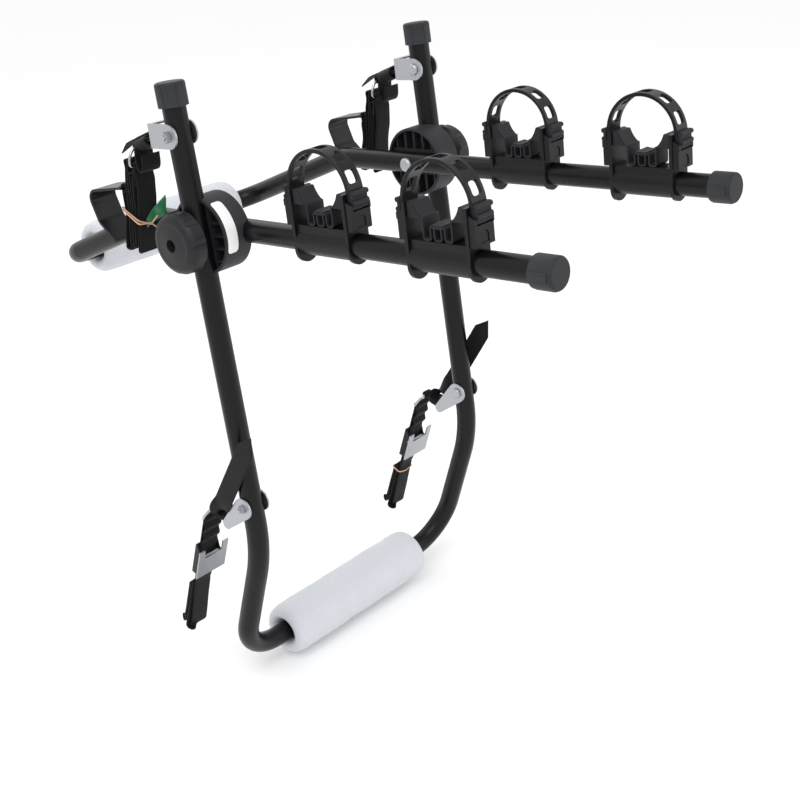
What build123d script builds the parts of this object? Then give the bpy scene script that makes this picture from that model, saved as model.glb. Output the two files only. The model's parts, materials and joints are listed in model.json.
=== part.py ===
from build123d import *
import os
from math import atan2, cos, degrees, radians, sin

# Trunk mounted bike rack, with its arms level for use.
# Origin at the middle of the lower padded bar, where the rack rests on the car.
# +X across the car, +Y towards the car, +Z up. Left is -X, seen from behind the car.

# Frame tubes
tube_diameter = 25.4
tube_wall = 1.6
leg_spacing = 384.0
arm_spacing = 308.0
lower_run = 188.0
lower_run_tilt = 14.0
elbow_radius = 180.0
lower_corner_radius = 62.0
elbow_to_hub = 375.0
leg_lean = 10.6
hub_to_leg_top = 159.0
hub_to_arm_end = 437.0
arm_rise = 8.3
hub_to_arm_bend = 123.0
arm_bend_radius = 110.0
upper_run = 207.0
upper_run_drop = 27.5
upper_corner_radius = 37.0

# Clearances
running_clearance = 0.08
seat_clearance = 0.05
soft_clearance = 0.3
cut_overrun = 1.0

# Rubber caps
cap_wall = 3.4
cap_end = 4.0
cap_grip = 21.0
cap_edge_radius = 3.0
cap_panel_width = 9.0
cap_panel_depth = 0.6

# Foam pads
pad_diameter = 68.0
lower_pad_length = 245.0
upper_pad_length = 232.0
pad_edge_radius = 7.0
pad_mouth_depth = 15.0
pad_mouth_gap = 5.5

# Hub halves
hub_diameter = 84.0
hub_half_depth = 18.0
hub_floor = 3.5
hub_rim = 3.2
hub_edge_radius = 1.5
hub_rib = 2.2
hub_rib_pitch = 14.0
hub_rib_count = 5
hub_rib_height = 10.0
hub_boss_diameter = 20.0
saddle_lip = 2.6

# Hub bolts, nuts and knobs
hub_bolt_diameter = 8.0
hub_bolt_head_diameter = 17.0
hub_bolt_head_height = 4.5
head_crown_share = 0.8
hub_nut_flats = 13.0
hub_nut_height = 6.5
knob_diameter = 67.0
knob_crown_share = 0.32
knob_depth = 26.0
knob_rim_depth = 14.0
knob_back_radius = 27.0
knob_back_depth = 5.0
knob_well_diameter = 14.0
knob_floor = 4.0
knob_wall = 3.0
knob_hollow = 11.0
knob_boss_diameter = 24.0
knob_flutes = 8
knob_flute_diameter = 15.0
knob_flute_depth = 2.6

# Cradles
cradle_length = 78.0
cradle_wall = 4.0
cradle_width = 30.0
sleeve_wall = 3.0
cradle_wall_height = 54.0
front_wall_drop = 23.7
rear_wall_drop = 18.5
cradle_floor = 2.4
cushion_width = 24.0
cushion_bore = 57.0
cushion_bore_height = 62.0
cushion_pad_bottom = 39.0
cushion_skin = 2.2
cushion_loop_pitch = 13.0
cushion_loop_width = 8.5
cushion_loop_top = 32.5
cradle_places = {
    "left_inner": (-1, 161.0),
    "left_outer": (-1, 314.0),
    "right_inner": (1, 173.0),
    "right_outer": (1, 337.0),
}

# Ladder straps, buckles and latches
ladder_width = 22.0
ladder_thickness = 4.0
ladder_foot = 21.0
ladder_hoop_height = 52.7
ladder_edge = 0.6
ladder_slot_width = 13.0
ladder_slot_length = 14.0
ladder_slot_radius = 3.0
ladder_slots = 7
ladder_slot_step = 24.0
buckle_bottom = 17.5
buckle_top = 37.0
buckle_wall = 2.6
buckle_arch_radius = 6.0
buckle_arch_depth = 0.9
latch_top = 57.0
latch_thickness = 3.4
latch_rib_radius = 2.6
latch_rib_step = 11.5
latch_pin_radius = 1.5
latch_gap = 0.5
strap_pull = 30.0

# Strap brackets and their bolts
bracket_plate = 2.0
bracket_radius = 13.0
bracket_reach = 31.0
lower_bracket_reach = 44.0
lower_bracket_tip_radius = 6.5
bracket_bar_diameter = 6.0
bracket_bridge = 7.0
bracket_bolt_diameter = 6.0
bracket_head_diameter = 14.0
bracket_head_height = 3.6
bracket_nut_flats = 10.0
bracket_nut_height = 5.0
hub_to_upper_bracket = 109.0
hub_to_lower_bracket = 316.0
upper_bracket_tilt = -9.0
lower_bracket_tilt = -48.0

# Webbing ties and rings
webbing_width = 25.0
webbing_thickness = 2.0
webbing_ply = 4.4
eye_gap = 0.5
ring_eye_gap = 1.2
ring_eye_width = 10.0
ring_wire = 3.2
ring_inside = 27.0
ring_rise = 5.0
ring_corner_radius = 3.0
upper_tie_length = 50.0
lower_tie_length = 34.0
upper_tie_tilt = -26.0
lower_tie_tilt = 8.0
upper_ring_tilt = -95.0
lower_ring_tilt = -60.0
tail_tilt = 118.0
tail_length = 150.0
tail_tip_length = 22.0

# Folded straps hanging from the rings
fold_pitch = 3.4
fold_radius = 1.6
upper_fold_bottom = 99.0
upper_fold_low_top = 8.0
upper_fold_high_top = -5.0
hook_drop = 28.0
hook_ply = 7.0
lower_strap_tilt = -75.0
lower_fold_top = 112.0
lower_fold_bottom = 190.0
lower_fold_slip = 5.0

# Hooks on the upper straps
hook_bar = 4.0
hook_plate = 3.0
hook_width = 34.0
hook_slot_width = 27.0
hook_slot_length = 8.0
hook_reach = 62.0
hook_fall = 17.0
hook_mouth = 32.0
hook_return = 28.0
hook_return_fall = 18.0
hook_bend_radius = 11.0

# Cam buckles on the lower straps
buckle_start = 44.0
buckle_length = 44.0
buckle_plate_width = 45.0
buckle_plate_thickness = 1.8
buckle_notch_width = 28.0
buckle_notch_depth = 14.0
buckle_pin_drop = 18.0
buckle_pin_out = 5.5
buckle_pin_diameter = 3.0
buckle_cam_radius = 2.5
buckle_web = 3.0
buckle_ear_radius = 3.5
buckle_side = 2.0
buckle_side_gap = 1.5
buckle_back_gap = 0.5

os.makedirs("parts", exist_ok=True)

tube_radius = tube_diameter / 2
leg_half = leg_spacing / 2
arm_half = arm_spacing / 2
mate_half = (leg_half + arm_half) / 2
tube_from_mate = (leg_half - arm_half) / 2


def side_vector(angle):
    """Unit vector in the side view, from +Y towards +Z."""
    return Vector(0, cos(radians(angle)), sin(radians(angle)))


def side_plane(point, angle):
    """Side view plane whose own x points along the angle, y is above it."""
    return Plane(point, x_dir=side_vector(angle), z_dir=Vector(1, 0, 0))


def save(builder, name):
    """Label a finished piece and write its file."""
    builder.part.label = name
    export_step(builder.part, f"parts/{name}.step")


def at_x(point, x):
    """The same side view point at another place across the rack."""
    return Vector(x, point.Y, point.Z)


leg_up = side_vector(90 - leg_lean)
arm_out = side_vector(180 - arm_rise)
arm_up = side_vector(90 - arm_rise)
lower_bar = Vector(0, 0, 0)
elbow = lower_bar + side_vector(90 + lower_run_tilt) * lower_run
hub = elbow + leg_up * elbow_to_hub
leg_top = hub + leg_up * hub_to_leg_top
arm_end = hub + arm_out * hub_to_arm_end
arm_bend = hub - arm_out * hub_to_arm_bend
upper_bar = arm_bend + side_vector(-upper_run_drop) * upper_run
upper_bolt = hub + leg_up * hub_to_upper_bracket
lower_bolt = hub - leg_up * hub_to_lower_bracket
sides = {"left": -1, "right": 1}

# Leg frame: one bent tube, from one upright through the lower bar to the other
leg_points = [at_x(leg_top, -leg_half), at_x(elbow, -leg_half), at_x(lower_bar, -leg_half)]
leg_points += [at_x(point, leg_half) for point in (lower_bar, elbow, leg_top)]
with BuildPart() as leg_frame:
    with BuildLine() as leg_path:
        FilletPolyline(
            *leg_points,
            radius=[elbow_radius, lower_corner_radius, lower_corner_radius, elbow_radius],
        )
    with BuildSketch(Plane(leg_path.line @ 0, z_dir=leg_path.line % 0)):
        Circle(tube_radius)
        Circle(tube_radius - tube_wall, mode=Mode.SUBTRACT)
    sweep(path=leg_path.line)
    for side in sides.values():
        with BuildSketch(Plane(at_x(hub, side * leg_half), z_dir=Vector(1, 0, 0))):
            Circle(hub_bolt_diameter / 2 + running_clearance)
        extrude(amount=tube_diameter, both=True, mode=Mode.SUBTRACT)
        for bolt_point in (upper_bolt, lower_bolt):
            with BuildSketch(Plane(at_x(bolt_point, side * leg_half), z_dir=Vector(1, 0, 0))):
                Circle(bracket_bolt_diameter / 2 + seat_clearance)
            extrude(amount=tube_diameter, both=True, mode=Mode.SUBTRACT)
save(leg_frame, "leg_frame")

# Arm frame: the second bent tube, inside the legs
arm_points = [at_x(arm_end, -arm_half), at_x(arm_bend, -arm_half), at_x(upper_bar, -arm_half)]
arm_points += [at_x(point, arm_half) for point in (upper_bar, arm_bend, arm_end)]
with BuildPart() as arm_frame:
    with BuildLine() as arm_path:
        FilletPolyline(
            *arm_points,
            radius=[arm_bend_radius, upper_corner_radius, upper_corner_radius, arm_bend_radius],
        )
    with BuildSketch(Plane(arm_path.line @ 0, z_dir=arm_path.line % 0)):
        Circle(tube_radius)
        Circle(tube_radius - tube_wall, mode=Mode.SUBTRACT)
    sweep(path=arm_path.line)
    for side in sides.values():
        with BuildSketch(Plane(at_x(hub, side * arm_half), z_dir=Vector(1, 0, 0))):
            Circle(hub_bolt_diameter / 2 + seat_clearance)
        extrude(amount=tube_diameter, both=True, mode=Mode.SUBTRACT)
save(arm_frame, "arm_frame")

# Rubber caps on the four open tube ends
cap_radius = tube_radius + cap_wall
cap_ends = {}
for label, side in sides.items():
    cap_ends[f"leg_cap_{label}"] = (at_x(leg_top, side * leg_half), leg_up)
    cap_ends[f"arm_cap_{label}"] = (at_x(arm_end, side * arm_half), arm_out)
for name, (point, direction) in cap_ends.items():
    end_plane = Plane(point, x_dir=Vector(1, 0, 0), z_dir=direction)
    with BuildPart() as tube_cap:
        with BuildSketch(end_plane.offset(-cap_grip)):
            Circle(cap_radius)
        extrude(amount=cap_grip + cap_end)
        fillet(tube_cap.edges().sort_by(Axis(point, direction))[-1], cap_edge_radius)
        with BuildSketch(end_plane.offset(-cap_grip)):
            with Locations((0, -cap_radius), (-cap_radius, 0)):
                Rectangle(cap_panel_width, 2 * cap_panel_depth)
                Rectangle(2 * cap_panel_depth, cap_panel_width)
            Circle(cap_radius + cap_panel_depth, mode=Mode.INTERSECT)
        extrude(amount=cap_grip)
        with BuildSketch(end_plane.offset(-cap_grip)):
            Circle(tube_radius + seat_clearance)
        extrude(amount=cap_grip, mode=Mode.SUBTRACT)
    save(tube_cap, name)

# Foam pads on the two cross bars
for name, centre, length in (
    ("lower_pad", lower_bar, lower_pad_length),
    ("upper_pad", upper_bar, upper_pad_length),
):
    bore_radius = tube_radius + soft_clearance
    with BuildPart() as foam_pad:
        with BuildSketch(Plane(centre, x_dir=Vector(1, 0, 0), z_dir=Vector(0, -1, 0))):
            with Locations((0, (pad_diameter / 2 + bore_radius) / 2)):
                Rectangle(length, pad_diameter / 2 - bore_radius)
            for side in sides.values():
                with BuildLine():
                    Polyline(
                        (side * length / 2, bore_radius),
                        (side * (length / 2 - pad_mouth_depth), bore_radius),
                        (side * length / 2, bore_radius + pad_mouth_gap),
                        close=True,
                    )
                make_face(mode=Mode.SUBTRACT)
        revolve(axis=Axis(centre, Vector(1, 0, 0)))
        outer_edges = foam_pad.edges().filter_by(
            lambda edge: edge.geom_type == GeomType.CIRCLE and edge.radius > pad_diameter / 2 - seat_clearance
        )
        fillet(outer_edges, pad_edge_radius)
    save(foam_pad, name)

# Hub halves: an outer one seats the leg tube, an inner one the arm tube
saddle_width = tube_diameter + 2 * saddle_lip
for label, side in sides.items():
    mate_point = at_x(hub, side * mate_half)
    for name, facing, direction in (
        (f"hub_outer_{label}", Vector(side, 0, 0), leg_up),
        (f"hub_inner_{label}", Vector(-side, 0, 0), arm_out),
    ):
        mate_plane = Plane(mate_point, x_dir=direction, z_dir=facing).offset(seat_clearance)
        with BuildPart() as hub_half:
            with BuildSketch(mate_plane):
                Circle(hub_diameter / 2)
            extrude(amount=hub_half_depth)
            fillet(hub_half.edges().sort_by(Axis(mate_point, facing))[-1], hub_edge_radius)
            with BuildSketch(mate_plane.offset(hub_floor)):
                Circle(hub_diameter / 2 - hub_rim)
            extrude(amount=hub_half_depth - hub_floor, mode=Mode.SUBTRACT)
            with BuildSketch(mate_plane.offset(hub_floor)):
                with GridLocations(hub_rib_pitch, hub_rib_pitch, hub_rib_count, 1):
                    Rectangle(hub_rib, hub_diameter)
                Rectangle(hub_diameter, saddle_width)
                Circle(hub_boss_diameter / 2)
                Circle(hub_diameter / 2 - hub_rim / 2, mode=Mode.INTERSECT)
            extrude(amount=hub_rib_height)
            with BuildSketch(Plane(mate_point + facing * tube_from_mate, z_dir=direction)):
                Circle(tube_radius + seat_clearance)
            extrude(amount=hub_diameter, both=True, mode=Mode.SUBTRACT)
            with BuildSketch(mate_plane):
                Circle(hub_bolt_diameter / 2 + running_clearance)
            extrude(amount=hub_half_depth, mode=Mode.SUBTRACT)
        save(hub_half, name)

# Hub bolts: round heads on the arms' inner sides, threads in the knobs' nuts
knob_gap = soft_clearance
knob_back = leg_half + tube_radius + knob_gap
nut_seat = knob_floor
bolt_tip = knob_back + nut_seat + hub_nut_height + hub_bolt_diameter / 2
with BuildPart() as hub_bolts:
    for side in sides.values():
        head_x = arm_half - tube_radius
        head_plane = Plane(at_x(hub, side * head_x), x_dir=leg_up, z_dir=Vector(side, 0, 0))
        with BuildSketch(head_plane):
            Circle(hub_bolt_diameter / 2)
        extrude(amount=bolt_tip - head_x)
        with BuildSketch(head_plane.offset(-hub_bolt_head_height)) as head_outline:
            Circle(hub_bolt_head_diameter / 2)
        head = extrude(amount=hub_bolt_head_height)
        head_rim = head.edges().sort_by(Axis(head_plane.origin, head_plane.z_dir))[0]
        fillet(head_rim, hub_bolt_head_height * head_crown_share)
save(hub_bolts, "hub_bolts")

# Knobs and the nuts moulded into them
for label, side in sides.items():
    knob_plane = Plane(at_x(hub, side * knob_back), x_dir=leg_up, z_dir=Vector(side, 0, 0))
    profile_plane = Plane(knob_plane.origin, x_dir=leg_up, z_dir=leg_up.cross(Vector(side, 0, 0)))
    well_radius = knob_well_diameter / 2
    with BuildPart() as knob:
        with BuildSketch(profile_plane):
            with BuildLine():
                Polyline(
                    (well_radius, knob_depth),
                    (well_radius, 0),
                    (knob_back_radius, 0),
                    (knob_diameter / 2, knob_back_depth),
                    (knob_diameter / 2, knob_rim_depth),
                )
                TangentArc(
                    (knob_diameter / 2, knob_rim_depth),
                    (knob_diameter * knob_crown_share, knob_depth - hub_edge_radius),
                    tangent=(0, 1),
                )
                Line(
                    (knob_diameter * knob_crown_share, knob_depth - hub_edge_radius),
                    (well_radius, knob_depth),
                )
            make_face()
        revolve(axis=Axis(knob_plane.origin, knob_plane.z_dir))
        with BuildSketch(knob_plane):
            flute_place = knob_diameter / 2 + knob_flute_diameter / 2 - knob_flute_depth
            with PolarLocations(flute_place, knob_flutes):
                Circle(knob_flute_diameter / 2)
        extrude(amount=knob_depth, mode=Mode.SUBTRACT)
        with BuildSketch(knob_plane):
            Circle(knob_back_radius - knob_wall)
            Circle(knob_boss_diameter / 2, mode=Mode.SUBTRACT)
        extrude(amount=knob_hollow, mode=Mode.SUBTRACT)
        with BuildSketch(knob_plane):
            Circle(knob_boss_diameter / 2)
        extrude(amount=nut_seat + hub_nut_height)
        with BuildSketch(knob_plane.offset(nut_seat)):
            RegularPolygon(hub_nut_flats / 2 + seat_clearance, 6, major_radius=False)
        extrude(amount=hub_nut_height + cut_overrun, mode=Mode.SUBTRACT)
        with BuildSketch(knob_plane):
            Circle(hub_bolt_diameter / 2 + running_clearance)
        extrude(amount=nut_seat, mode=Mode.SUBTRACT)
    save(knob, f"knob_{label}")
    with BuildPart() as knob_nut:
        with BuildSketch(knob_plane.offset(nut_seat)):
            RegularPolygon(hub_nut_flats / 2, 6, major_radius=False)
            Circle(hub_bolt_diameter / 2 + running_clearance, mode=Mode.SUBTRACT)
        extrude(amount=hub_nut_height)
    save(knob_nut, f"knob_nut_{label}")

# Cradles: a sleeve on the arm with two walls, each with a buckle on its outer face
sleeve_radius = tube_radius + sleeve_wall
cradle_end = cradle_length / 2
wall_round = cradle_width / 2
floor_height = sleeve_radius + cradle_floor
channel_depth = soft_clearance + ladder_thickness + soft_clearance
buckle_face = cradle_end + channel_depth + buckle_wall
channel_half = ladder_width / 2 + soft_clearance
latch_pin_out = cradle_end + channel_depth + soft_clearance + latch_thickness / 2
latch_pin_up = buckle_top + latch_thickness
ladder_radius = cradle_end + soft_clearance + ladder_thickness / 2
ladder_quarter = radians(90) * ladder_radius

for key, (side, reach) in cradle_places.items():
    centre = at_x(hub, side * arm_half) + arm_out * reach
    section = Plane(centre, x_dir=arm_out, z_dir=Vector(-1, 0, 0))
    across = Plane(centre, x_dir=Vector(1, 0, 0), z_dir=arm_out)
    ends = {
        "front": Plane(centre, x_dir=-arm_out, z_dir=Vector(1, 0, 0)),
        "rear": Plane(centre, x_dir=arm_out, z_dir=Vector(-1, 0, 0)),
    }

    with BuildPart() as cradle_base:
        with BuildSketch(across.offset(-cradle_end)):
            Circle(sleeve_radius)
        extrude(amount=cradle_length)
        with BuildSketch(section):
            with Locations((0, floor_height / 2)):
                Rectangle(cradle_length, floor_height)
        extrude(amount=cushion_width / 2, both=True)
        for offset, drop in ((-cradle_end, front_wall_drop), (cradle_end - cradle_wall, rear_wall_drop)):
            with BuildSketch(across.offset(offset)):
                with Locations((0, wall_round - drop)):
                    Circle(wall_round)
                with Locations((0, (wall_round - drop + cradle_wall_height) / 2)):
                    Rectangle(cradle_width, cradle_wall_height - wall_round + drop)
            extrude(amount=cradle_wall)
        for end_plane in ends.values():
            with BuildSketch(end_plane):
                with BuildLine():
                    Polyline(
                        (cradle_end, buckle_bottom),
                        (buckle_face, buckle_bottom),
                        (buckle_face, buckle_top),
                        (latch_pin_out + latch_thickness / 2, buckle_top),
                        (latch_pin_out + latch_thickness / 2, latch_pin_up + latch_thickness),
                        (cradle_end, latch_pin_up + 2 * latch_thickness),
                        close=True,
                    )
                make_face()
            extrude(amount=channel_half + buckle_wall, both=True)
            with BuildSketch(end_plane):
                with Locations(((cradle_end + buckle_face) / 2 - buckle_wall / 2, cradle_wall_height / 2)):
                    Rectangle(channel_depth, cradle_wall_height)
                with Locations((buckle_face, buckle_top + cradle_wall_height / 2)):
                    Rectangle(4 * buckle_wall, cradle_wall_height)
            extrude(amount=channel_half, both=True, mode=Mode.SUBTRACT)
            with BuildSketch(end_plane):
                with Locations((latch_pin_out, latch_pin_up)):
                    Circle(latch_pin_radius + running_clearance)
            extrude(amount=cradle_width, both=True, mode=Mode.SUBTRACT)
            face_plane = Plane(
                centre + end_plane.x_dir * (buckle_face - buckle_arch_depth),
                x_dir=Vector(1, 0, 0),
                z_dir=end_plane.x_dir,
            )
            arch_foot = buckle_bottom + buckle_wall
            arch_sign = face_plane.y_dir.dot(arm_up)
            with BuildSketch(face_plane):
                with Locations((0, arch_sign * (arch_foot + buckle_arch_radius))):
                    Circle(buckle_arch_radius)
                with Locations((0, arch_sign * (arch_foot + buckle_arch_radius / 2))):
                    Rectangle(2 * buckle_arch_radius, buckle_arch_radius)
            extrude(amount=buckle_arch_depth + cut_overrun, mode=Mode.SUBTRACT)
        with BuildSketch(across.offset(-cradle_end)):
            Circle(tube_radius + seat_clearance)
        extrude(amount=cradle_length, mode=Mode.SUBTRACT)
    save(cradle_base, f"cradle_base_{key}")

    # Rubber cushion: two side pads and a round seat on three open folds
    fold_bottom = floor_height + soft_clearance + cushion_skin / 2
    fold_half = cushion_loop_width / 2
    wall_face = cradle_end - cradle_wall - seat_clearance
    fold_points = [(-cushion_loop_pitch - fold_half, cushion_pad_bottom + cushion_skin)]
    for step in (-1, 0, 1):
        middle = step * cushion_loop_pitch
        fold_points += [(middle - fold_half, fold_bottom), (middle + fold_half, fold_bottom)]
        if step < 1:
            fold_points += [
                (middle + fold_half, cushion_loop_top),
                (middle + cushion_loop_pitch - fold_half, cushion_loop_top),
            ]
    fold_points.append((cushion_loop_pitch + fold_half, cushion_pad_bottom + cushion_skin))
    with BuildPart() as cushion:
        with BuildSketch(section):
            with Locations((0, cushion_bore_height)):
                Circle(cushion_bore / 2 + cushion_skin)
            with Locations((0, cushion_pad_bottom + cushion_bore)):
                Rectangle(cradle_length, 2 * cushion_bore, mode=Mode.SUBTRACT)
            with BuildLine():
                FilletPolyline(*fold_points, radius=cushion_skin)
            trace(line_width=cushion_skin)
            with Locations((0, (cushion_pad_bottom + cradle_wall_height) / 2)):
                Rectangle(2 * wall_face, cradle_wall_height - cushion_pad_bottom)
            with Locations((0, cushion_bore_height)):
                Circle(cushion_bore / 2, mode=Mode.SUBTRACT)
        extrude(amount=cushion_width / 2, both=True)
    save(cushion, f"cradle_cushion_{key}")

    # Ladder strap: a hoop over the cradle, with a row of slots
    with BuildPart() as ladder_strap:
        with BuildSketch(section):
            with BuildLine():
                Polyline((-ladder_radius, ladder_foot), (-ladder_radius, ladder_hoop_height))
                CenterArc((0, ladder_hoop_height), ladder_radius, 0, 180)
                Polyline((ladder_radius, ladder_foot), (ladder_radius, ladder_hoop_height))
            trace(line_width=ladder_thickness)
        extrude(amount=ladder_width / 2, both=True)
        chamfer(ladder_strap.faces().filter_by(Axis.X).edges(), ladder_edge)
        for step in range(-(ladder_slots // 2), ladder_slots // 2 + 1):
            along = step * ladder_slot_step
            turn = max(-ladder_quarter, min(ladder_quarter, along)) / ladder_radius
            outward = arm_out * sin(turn) + arm_up * cos(turn)
            below = max(0, abs(along) - ladder_quarter)
            slot_centre = centre + arm_up * (ladder_hoop_height - below) + outward * ladder_radius
            with BuildSketch(Plane(slot_centre, x_dir=Vector(1, 0, 0), z_dir=outward)):
                RectangleRounded(ladder_slot_width, ladder_slot_length, ladder_slot_radius)
            extrude(amount=ladder_thickness, both=True, mode=Mode.SUBTRACT)
    save(ladder_strap, f"ladder_strap_{key}")

    # Thumb latches, each on a pin between its buckle's ears
    for end, end_plane in ends.items():
        with BuildPart() as latch:
            with BuildSketch(end_plane):
                with Locations((latch_pin_out, latch_pin_up)):
                    Circle(latch_thickness / 2)
                with Locations((latch_pin_out, (latch_pin_up + latch_top) / 2)):
                    Rectangle(latch_thickness, latch_top - latch_pin_up)
                rib_out = latch_pin_out + latch_thickness / 2
                for rib_up in (latch_top - latch_rib_radius, latch_top - latch_rib_step):
                    with Locations((rib_out, rib_up)):
                        Circle(latch_rib_radius)
            extrude(amount=channel_half - latch_gap, both=True)
            with BuildSketch(end_plane):
                with Locations((latch_pin_out, latch_pin_up)):
                    Circle(latch_pin_radius)
            extrude(amount=channel_half + buckle_wall, both=True)
            # the ribs stand out only on the thumb side
            with BuildSketch(end_plane):
                with Locations((latch_pin_out - latch_thickness, (latch_pin_up + latch_top) / 2)):
                    Rectangle(latch_thickness, 2 * latch_top)
            extrude(amount=cradle_width, both=True, mode=Mode.SUBTRACT)
        save(latch, f"latch_{end}_{key}")

# Strap brackets on the uprights, and the bolts that they swing on
cheek_inside = tube_radius + soft_clearance
bracket_sets = {
    "upper": (upper_bolt, upper_bracket_tilt, bracket_reach, bracket_reach - bracket_bar_diameter),
    "lower": (lower_bolt, lower_bracket_tilt, lower_bracket_reach, lower_bracket_reach),
}
bar_points = {}
for level, (bolt_point, tilt, reach, bar_reach) in bracket_sets.items():
    bar_points[level] = bolt_point + side_vector(tilt) * bar_reach
    for label, side in sides.items():
        bracket_plane = side_plane(at_x(bolt_point, side * leg_half), tilt)
        with BuildPart() as bracket:
            for face in (-1, 1):
                with BuildSketch(bracket_plane.offset(face * (cheek_inside + bracket_plate / 2))):
                    Circle(bracket_radius)
                    if level == "upper":
                        with Locations((reach / 2, 0)):
                            Rectangle(reach, 2 * bracket_radius)
                    else:
                        with Locations((reach, 0)):
                            Circle(lower_bracket_tip_radius)
                        make_hull()
                    Circle(bracket_bolt_diameter / 2 + running_clearance, mode=Mode.SUBTRACT)
                extrude(amount=bracket_plate / 2, both=True)
            with BuildSketch(bracket_plane):
                with Locations((bar_reach, 0)):
                    Circle(bracket_bar_diameter / 2)
            extrude(amount=cheek_inside + bracket_plate / 2, both=True)
            if level == "upper":
                with BuildSketch(bracket_plane):
                    with Locations((reach - bracket_bridge / 2, bracket_radius - bracket_plate / 2)):
                        Rectangle(bracket_bridge, bracket_plate)
                extrude(amount=cheek_inside + bracket_plate / 2, both=True)
        save(bracket, f"strap_bracket_{level}_{label}")

with BuildPart() as bracket_bolts:
    for level, (bolt_point, tilt, reach, bar_reach) in bracket_sets.items():
        for label, side in sides.items():
            outer_face = cheek_inside + bracket_plate + soft_clearance
            bolt_plane = Plane(
                at_x(bolt_point, side * (leg_half - outer_face)),
                x_dir=leg_up,
                z_dir=Vector(side, 0, 0),
            )
            with BuildSketch(bolt_plane):
                Circle(bracket_bolt_diameter / 2)
            extrude(amount=2 * outer_face + bracket_nut_height + bracket_plate)
            with BuildSketch(bolt_plane.offset(-bracket_head_height)):
                Circle(bracket_head_diameter / 2)
            bolt_head = extrude(amount=bracket_head_height)
            fillet(
                bolt_head.edges().sort_by(Axis(bolt_plane.origin, bolt_plane.z_dir))[0],
                bracket_head_height * head_crown_share,
            )
            with BuildSketch(bolt_plane.offset(2 * outer_face)):
                RegularPolygon(bracket_nut_flats / 2, 6, major_radius=False)
            extrude(amount=bracket_nut_height)
save(bracket_bolts, "bracket_bolts")

# Webbing ties from the bracket bars, and the rings that they hold
bar_radius = bracket_bar_diameter / 2
wire_radius = ring_wire / 2
ring_half = ring_inside / 2 + wire_radius
ring_depth = ring_rise + ring_half
ties = {
    "upper": (upper_tie_tilt, upper_tie_length, upper_ring_tilt),
    "lower": (lower_tie_tilt, lower_tie_length, lower_ring_tilt),
}
ring_bars = {}
for level, (tilt, length, ring_tilt) in ties.items():
    ring_top = bar_points[level] + side_vector(tilt) * length
    ring_bars[level] = ring_top + side_vector(ring_tilt) * ring_depth
    for label, side in sides.items():
        tie_plane = side_plane(at_x(bar_points[level], side * leg_half), tilt)
        flat_plane = Plane(tie_plane.origin, x_dir=tie_plane.x_dir, z_dir=tie_plane.y_dir)
        with BuildPart() as tie:
            with BuildSketch(tie_plane):
                Circle(bar_radius + eye_gap + webbing_thickness)
                with Locations((length / 2, 0)):
                    Rectangle(length, webbing_ply)
            extrude(amount=webbing_width / 2, both=True)
            with BuildSketch(flat_plane):
                with BuildLine():
                    Polyline(
                        (length / 2, -webbing_width / 2),
                        (length, -ring_eye_width / 2),
                        (length, ring_eye_width / 2),
                        (length / 2, webbing_width / 2),
                        (length, webbing_width),
                        (2 * length, 0),
                        (length, -webbing_width),
                        close=True,
                    )
                make_face()
            extrude(amount=webbing_width, both=True, mode=Mode.SUBTRACT)
            with BuildSketch(tie_plane):
                with Locations((length, 0)):
                    Circle(wire_radius + ring_eye_gap + webbing_thickness)
            extrude(amount=ring_eye_width / 2, both=True)
            with BuildSketch(tie_plane):
                Circle(bar_radius + eye_gap)
                with Locations((length, 0)):
                    Circle(wire_radius + ring_eye_gap)
            extrude(amount=webbing_width, both=True, mode=Mode.SUBTRACT)
            if level == "lower":
                # the tail of the tie turns out and passes outside the upright
                tail_x = side * (leg_half + cheek_inside + bracket_plate + soft_clearance)
                tail_foot = bar_points[level] + side_vector(tilt) * length / 2
                tail_plane = side_plane(at_x(tail_foot, tail_x), tail_tilt)
                with BuildSketch(tail_plane):
                    with BuildLine():
                        Polyline(
                            (0, -webbing_width / 2),
                            (tail_length - tail_tip_length, -webbing_width / 2),
                            (tail_length, 0),
                            (tail_length - tail_tip_length, webbing_width / 2),
                            (0, webbing_width / 2),
                            close=True,
                        )
                    make_face()
                extrude(amount=side * webbing_thickness)
                with BuildSketch(tail_plane):
                    with Locations((webbing_ply / 2, 0)):
                        Rectangle(webbing_ply, webbing_width / 2)
                extrude(amount=-side * webbing_width / 2)
        save(tie, f"strap_tie_{level}_{label}")

        ring_plane = Plane(
            at_x(ring_bars[level], side * leg_half),
            x_dir=Vector(1, 0, 0),
            z_dir=Vector(1, 0, 0).cross(-side_vector(ring_tilt)),
        )
        with BuildPart() as ring:
            with BuildLine(ring_plane) as ring_path:
                FilletPolyline(
                    (-ring_half, ring_rise),
                    (-ring_half, 0),
                    (ring_half, 0),
                    (ring_half, ring_rise),
                    radius=ring_corner_radius,
                )
                ThreePointArc((ring_half, ring_rise), (0, ring_depth), (-ring_half, ring_rise))
            with BuildSketch(Plane(ring_path.wires()[0] @ 0, z_dir=ring_path.wires()[0] % 0)):
                Circle(wire_radius)
            sweep(path=ring_path.wires()[0])
        save(ring, f"strap_ring_{level}_{label}")

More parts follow.
